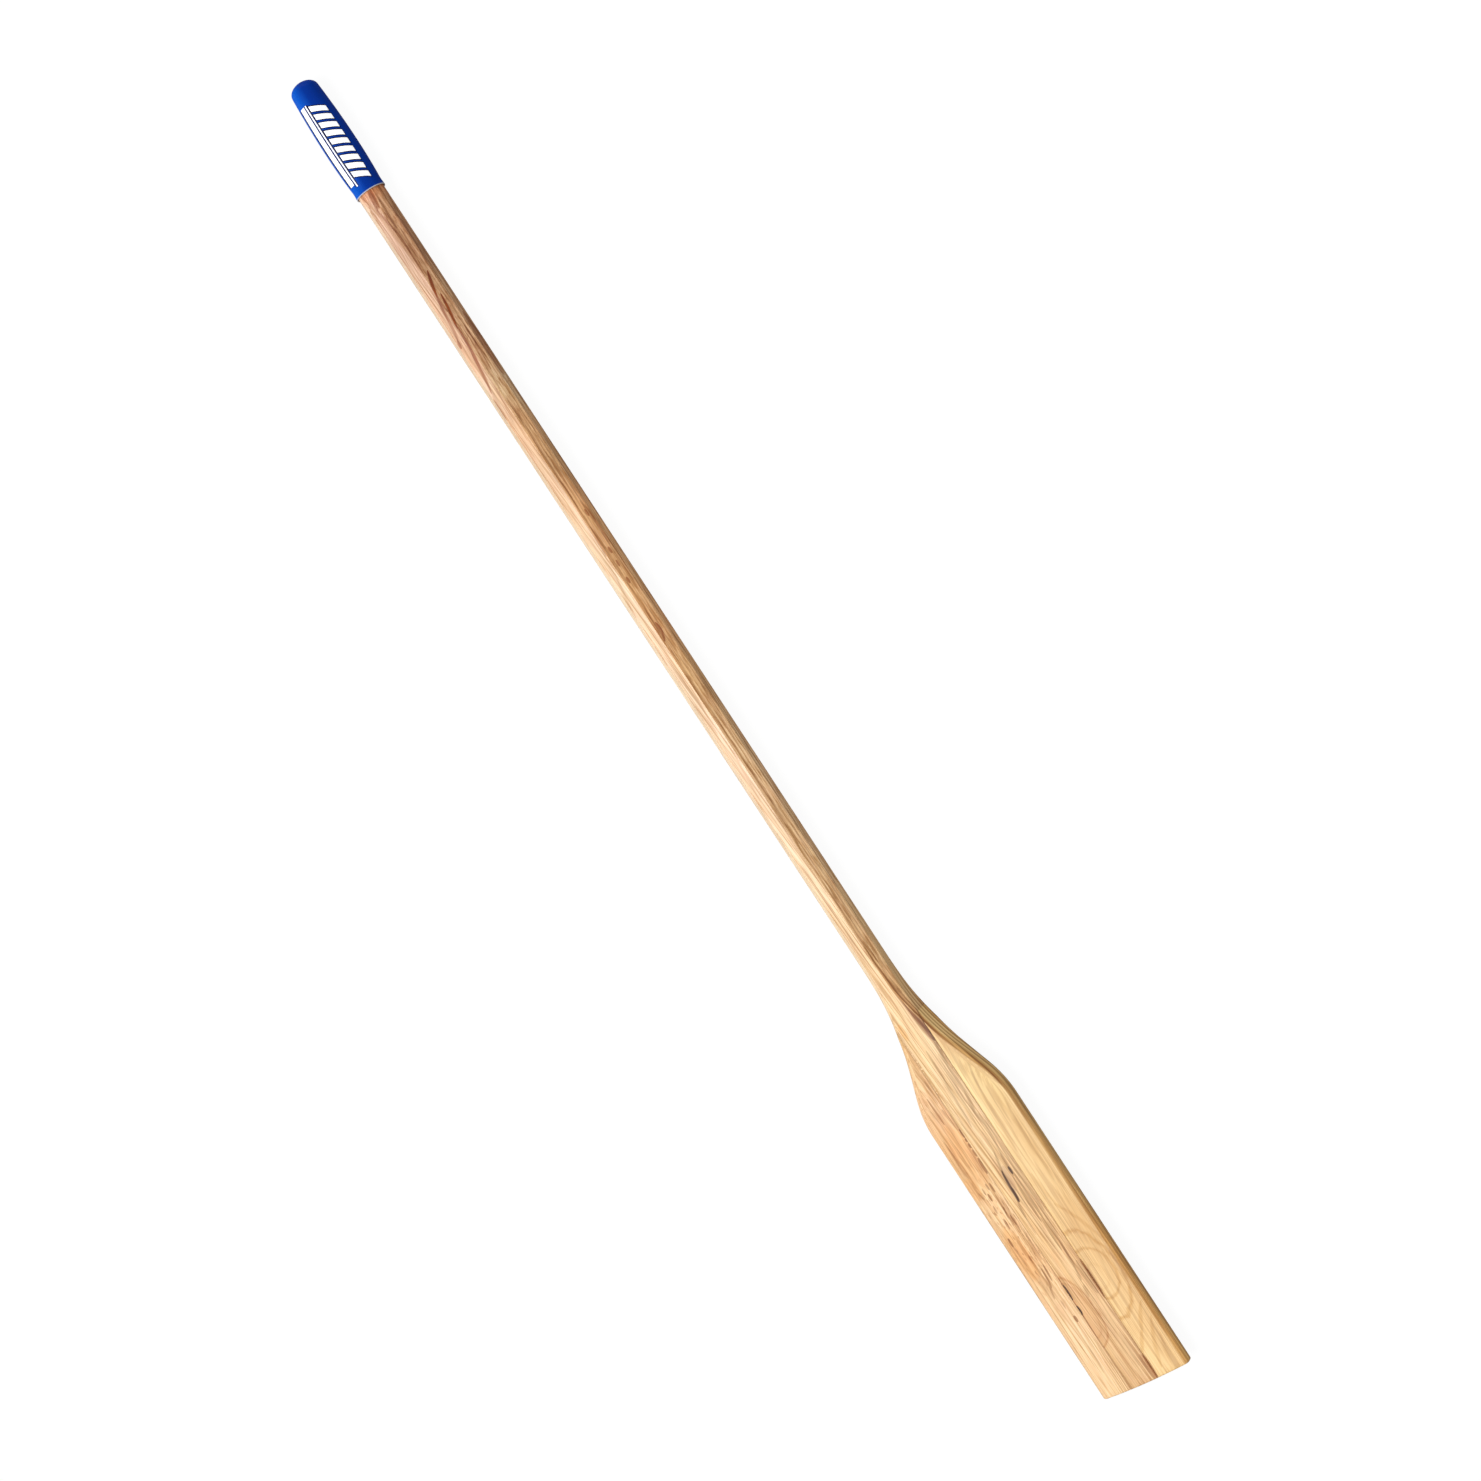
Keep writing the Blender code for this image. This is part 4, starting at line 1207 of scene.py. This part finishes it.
# %% Add its dark ticks and varnish it
TICK_BROWN = (0.42, 0.29, 0.19)
left.streaks(TICK_BROWN, (
    (0.578, 0.622, -43.4, -42.8, 0.0, 1.5, 0.8), (0.554, 0.592, -32.5, -34.2, 0.0, 1.5, 0.4),
    (0.600, 0.640, -34.0, -29.8, -0.6, 2.0, 0.5), (0.636, 0.650, -28.9, -28.7, 0.0, 1.8, 0.9),
    (0.651, 0.657, -28.9, -28.8, 0.0, 1.6, 0.9), (0.659, 0.667, -29.0, -29.0, 0.0, 1.8, 0.9),
    (0.669, 0.681, -29.0, -29.1, 0.0, 1.6, 0.8), (0.683, 0.709, -29.3, -29.8, 0.0, 2.1, 0.85),
    (0.650, 0.705, -32.6, -33.0, 0.4, 1.3, 0.5), (0.721, 0.737, -34.8, -34.9, 0.0, 1.4, 0.9),
    (0.745, 0.802, -33.2, -34.6, 0.4, 1.4, 0.6), (0.774, 0.791, -34.7, -34.6, 0.0, 1.5, 1.0),
    (0.740, 0.790, -37.0, -38.4, 0.0, 1.2, 0.5), (0.720, 0.731, -40.2, -40.0, 0.0, 1.3, 0.7),
    (0.734, 0.747, -44.8, -45.0, 0.0, 1.6, 1.0), (0.724, 0.736, -47.6, -47.8, 0.0, 1.2, 0.6),
    (0.752, 0.766, -47.8, -48.5, 0.0, 1.3, 0.6), (0.775, 0.793, -45.5, -45.9, 0.0, 1.4, 0.8),
    (0.803, 0.818, -55.4, -55.6, 0.0, 1.7, 0.9), (0.812, 0.850, -55.8, -54.4, 0.3, 1.4, 0.4),
    (0.856, 0.883, -34.4, -36.0, 0.0, 1.4, 0.8), (0.860, 0.892, -39.2, -41.9, 0.4, 1.5, 0.8),
    (0.888, 0.908, -43.4, -46.8, 0.0, 1.4, 0.6), (0.912, 0.926, -41.0, -41.4, 0.0, 1.2, 0.5),
    (0.939, 0.950, -37.2, -37.4, 0.0, 1.9, 0.9), (0.985, 1.030, -44.0, -46.0, 0.5, 1.3, 0.3),
    (0.800, 0.850, -31.4, -32.0, 0.0, 1.4, 0.5), (0.640, 0.700, -56.0, -58.0, 0.5, 1.4, 0.3),
))
varnish(left, left_threads, 0.42)

# %% [markdown]
# ## The right wing board
#
# This one is pale yellow and was sawn flat, so its growth rings surface as wide ovals and
# arches towards the tip. Along its rounded edge the same rings show as close brown lines, and
# painted shade deepens the edge past the middle of the blade and on the faces that turn a little
# to the right. At the throat its upright flank gets painted light, as pale as the middle board's.

# %% Paint the right wing board
yellow = Board(RIGHT_WOOD, 0.0010, (
    (0.50, (249, 213, 152)), (0.58, (254, 227, 163)), (0.66, (245, 213, 154)),
    (0.76, (242, 208, 148)), (0.83, (238, 200, 138)), (0.90, (243, 206, 146)),
    (1.067, (247, 213, 154))))
late = yellow.pattern(GROWTH_RINGS, Heart_Beside=0.03, Heart_Height=-0.16, Taper=0.03,
                      Spacing=0.0050, Waver=0.0014)
yellow_threads = common_wood(yellow, 0.4, 0.5, late * 0.12, 0.55, 0.0, 0.75)
yellow.stain_or_painted_shade(late * yellow.on_side * 0.6, 0.66, 0.54, 0.40)
# Painted shade on the faces that turn a little to the right, less on the upright flank
yellow.stain_or_painted_shade(yellow.net.share(yellow.facing, 0.05, 0.3) * (1 - yellow.upright * 0.8), 0.84, 0.76, 0.70)
# Painted light on the upright flank at the throat
painted_light_flank = yellow.upright * yellow.net.share(yellow.along, 0.62, 0.50)
yellow.colour = blend(yellow.net, painted_light_flank * 0.9, yellow.colour, linear(255, 219, 151))
throat_fairing(yellow)
# Painted shade on the right-facing edge past the middle of the blade
yellow.stain_or_painted_shade(yellow.on_side * yellow.net.share(yellow.along, 0.76, 0.86), 0.94, 0.88, 0.76)
yellow.stain_or_painted_shade(yellow.pattern(PATCHES, Length=0.06, Breadth=0.012, Seed=6.0) * 0.4, 0.97, 0.92, 0.84)

# %% Draw its ovals and arches, and varnish it
PALE_RING = (0.84, 0.75, 0.58)
SEAM_BROWN = (0.45, 0.30, 0.20)
rings = 0
for middle, aside, back, front, half, width, strength in (
        (0.900, 21.0, 0.040, 0.038, 24.5, 2.6, 0.9), (0.905, 14.0, 0.076, 0.067, 39.0, 3.2, 1.0),
        (0.905, 20.0, 0.020, 0.018, 12.0, 3.0, 0.25)):
    line = yellow.oval(middle, aside, back, front, half, width)[0]
    rings = yellow.net.math("MAXIMUM", rings, line * strength)
yellow.stain_or_painted_shade(rings, 0.81, 0.70, 0.50)
yellow.streaks(PALE_RING, (
    (0.735, 0.792, 20.6, 27.0, -0.8, 2.4, 0.6), (0.786, 0.801, 24.6, 30.8, 0.0, 2.4, 0.8),
    (0.796, 0.820, 29.8, 39.4, 1.0, 2.6, 0.8), (0.812, 0.850, 38.0, 50.5, 0.4, 2.6, 0.7),
    (0.836, 0.870, 46.0, 56.0, 0.8, 2.2, 0.6), (0.960, 1.002, 51.0, 28.4, -1.6, 3.2, 0.8),
    (0.996, 1.030, 29.2, 11.0, 0.6, 3.0, 0.8), (0.984, 1.056, 52.0, 24.6, -2.6, 3.0, 0.7),
    (1.010, 1.067, 50.0, 36.0, -1.0, 2.4, 0.4), (0.620, 0.760, 40.0, 42.0, 1.2, 3.0, 0.35),
    (0.560, 0.700, 24.0, 21.0, 0.8, 3.0, 0.35), (0.650, 0.790, 16.0, 17.5, 0.6, 2.4, 0.4),
))

# The pale rings don't sink into the varnish, only the dark streaks do
yellow.dark = 0
yellow.streaks(SEAM_BROWN, (
    (0.870, 0.936, 12.6, 12.6, 0.0, 2.5, 1.0), (0.972, 1.030, 12.7, 12.8, 0.0, 1.2, 0.6),
    (1.024, 1.067, 12.6, 12.7, 0.0, 2.6, 1.0),
))
varnish(yellow, yellow_threads, 0.40)

# %% [markdown]
# ## Vinyl and ink
#
# The vinyl is a deep blue, and painted light turns it azure towards its left side, which faces the
# lamps.
# It has a soft gloss, a fine dimpled skin and a pale worn rim at its mouth. The inks lie on
# it with tiny gaps where the roller missed. White ink gets a faint glow, which is painted light,
# so it looks whiter than a plain white surface would in the same light. Vinyl and ink share one
# group for their skin, because ink takes on the dimples of what it lies on.

# %% The skin of vinyl and ink as a shader group
net, given = new_group("vinyl_skin", "ShaderNodeTree", {"Dimple": 0.00002, "Dull": 0.35}, {
    "Relief": "Float", "Roughness": "Float", "Speckles": "Float"})
spot = net.add("ShaderNodeTexCoord", output="Object")
dimples = net.add("ShaderNodeTexNoise", {"Vector": spot, "Scale": 900.0, "Detail": 1.0})
handled = net.add("ShaderNodeTexNoise", {"Vector": spot, "Scale": 70.0, "Detail": 3.0})
VINYL_SKIN = close_group(net, {
    "Relief": dimples * given["Dimple"], "Roughness": given["Dull"] + (handled - 0.5) * 0.3,
    "Speckles": net.share(dimples + handled * 0.4, 0.86, 0.94)})


def soft_plastic(net, colour, skin, specular, painted_glow=0.0):
    """Wire the shader of vinyl or ink, with a painted glow where one is given."""
    bump = net.add("ShaderNodeBump", {"Height": skin, "Strength": 1.0, "Distance": 1.0})
    net.add("ShaderNodeOutputMaterial", {"Surface": net.add("ShaderNodeBsdfPrincipled", {
        "Base Color": colour, "Roughness": skin.other("Roughness"), "Normal": bump,
        "Specular IOR Level": specular, "Emission Color": colour,
        "Emission Strength": painted_glow})})

# %% Finish the sleeve
net = emptied(VINYL)
skin = net.use(VINYL_SKIN, Dimple=0.00003, Dull=0.36)
place = net.use(BOARD_PLACE, Wander=0.0)
# Painted light: the blue turns azure towards the left side, which faces the lamps
painted_light_side = net.share(place.other("Across"), -0.001, -0.023)
blue = blend(net, painted_light_side, linear(0, 50, 146), linear(0, 94, 206))
spot = net.add("ShaderNodeTexCoord", output="Object")
cloud = net.add("ShaderNodeTexNoise", {"Vector": spot, "Scale": 45.0})
blue = stain_or_painted_shade(net, blue, net.share(cloud, 0.4, 0.7) * 0.4, 0.8, 0.7, 0.86)
RIM_START = MOUTH_X - 0.0016
RIM_FULL = MOUTH_X - 0.0007
rim = net.share(place, RIM_START, RIM_FULL)
blue = blend(net, rim * 0.8, blue, linear(214, 214, 206))
soft_plastic(net, blue, skin, 0.04)
print(f"the worn rim starts {1000 * (MOUTH_X - RIM_START):.1f} mm before the mouth")

# %% Finish the two inks
# The white ink's emission is a painted glow that makes it look whiter
for material, colour, dull, painted_glow in (
        (WHITE_INK, (252, 253, 255), 0.4, 0.25), (DARK_INK, (2, 4, 50), 0.32, 0.0)):
    net = emptied(material)
    skin = net.use(VINYL_SKIN, Dimple=0.00001, Dull=dull)
    worn = blend(net, skin.other("Speckles") * 0.5, linear(*colour), linear(40, 90, 190))
    soft_plastic(net, worn, skin, 0.1, painted_glow)
    print(f"{material.name}: {len(net.tree.nodes)} nodes")

# %% [markdown]
# ## The pieces on the oar's body
#
# Each dressed piece rides on the oar's one body, and the imported piece that it stands for is
# hidden. The prints stand for none. They ride along.

# %% Hang each piece on the body and hide what it stands for
for piece, node, slot in (
        (middle_board, "loom_core", "loom_wood"), (left_wing, "blade_wing_left", "left_wing_wood"),
        (right_wing, "blade_wing_right", "right_wing_wood"), (sleeve, "grip_sleeve", "grip_vinyl")):
    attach(piece, "root")
    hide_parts(node)
    print(f"{piece.name} stands for {node}")
for piece in prints:
    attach(piece, "root")
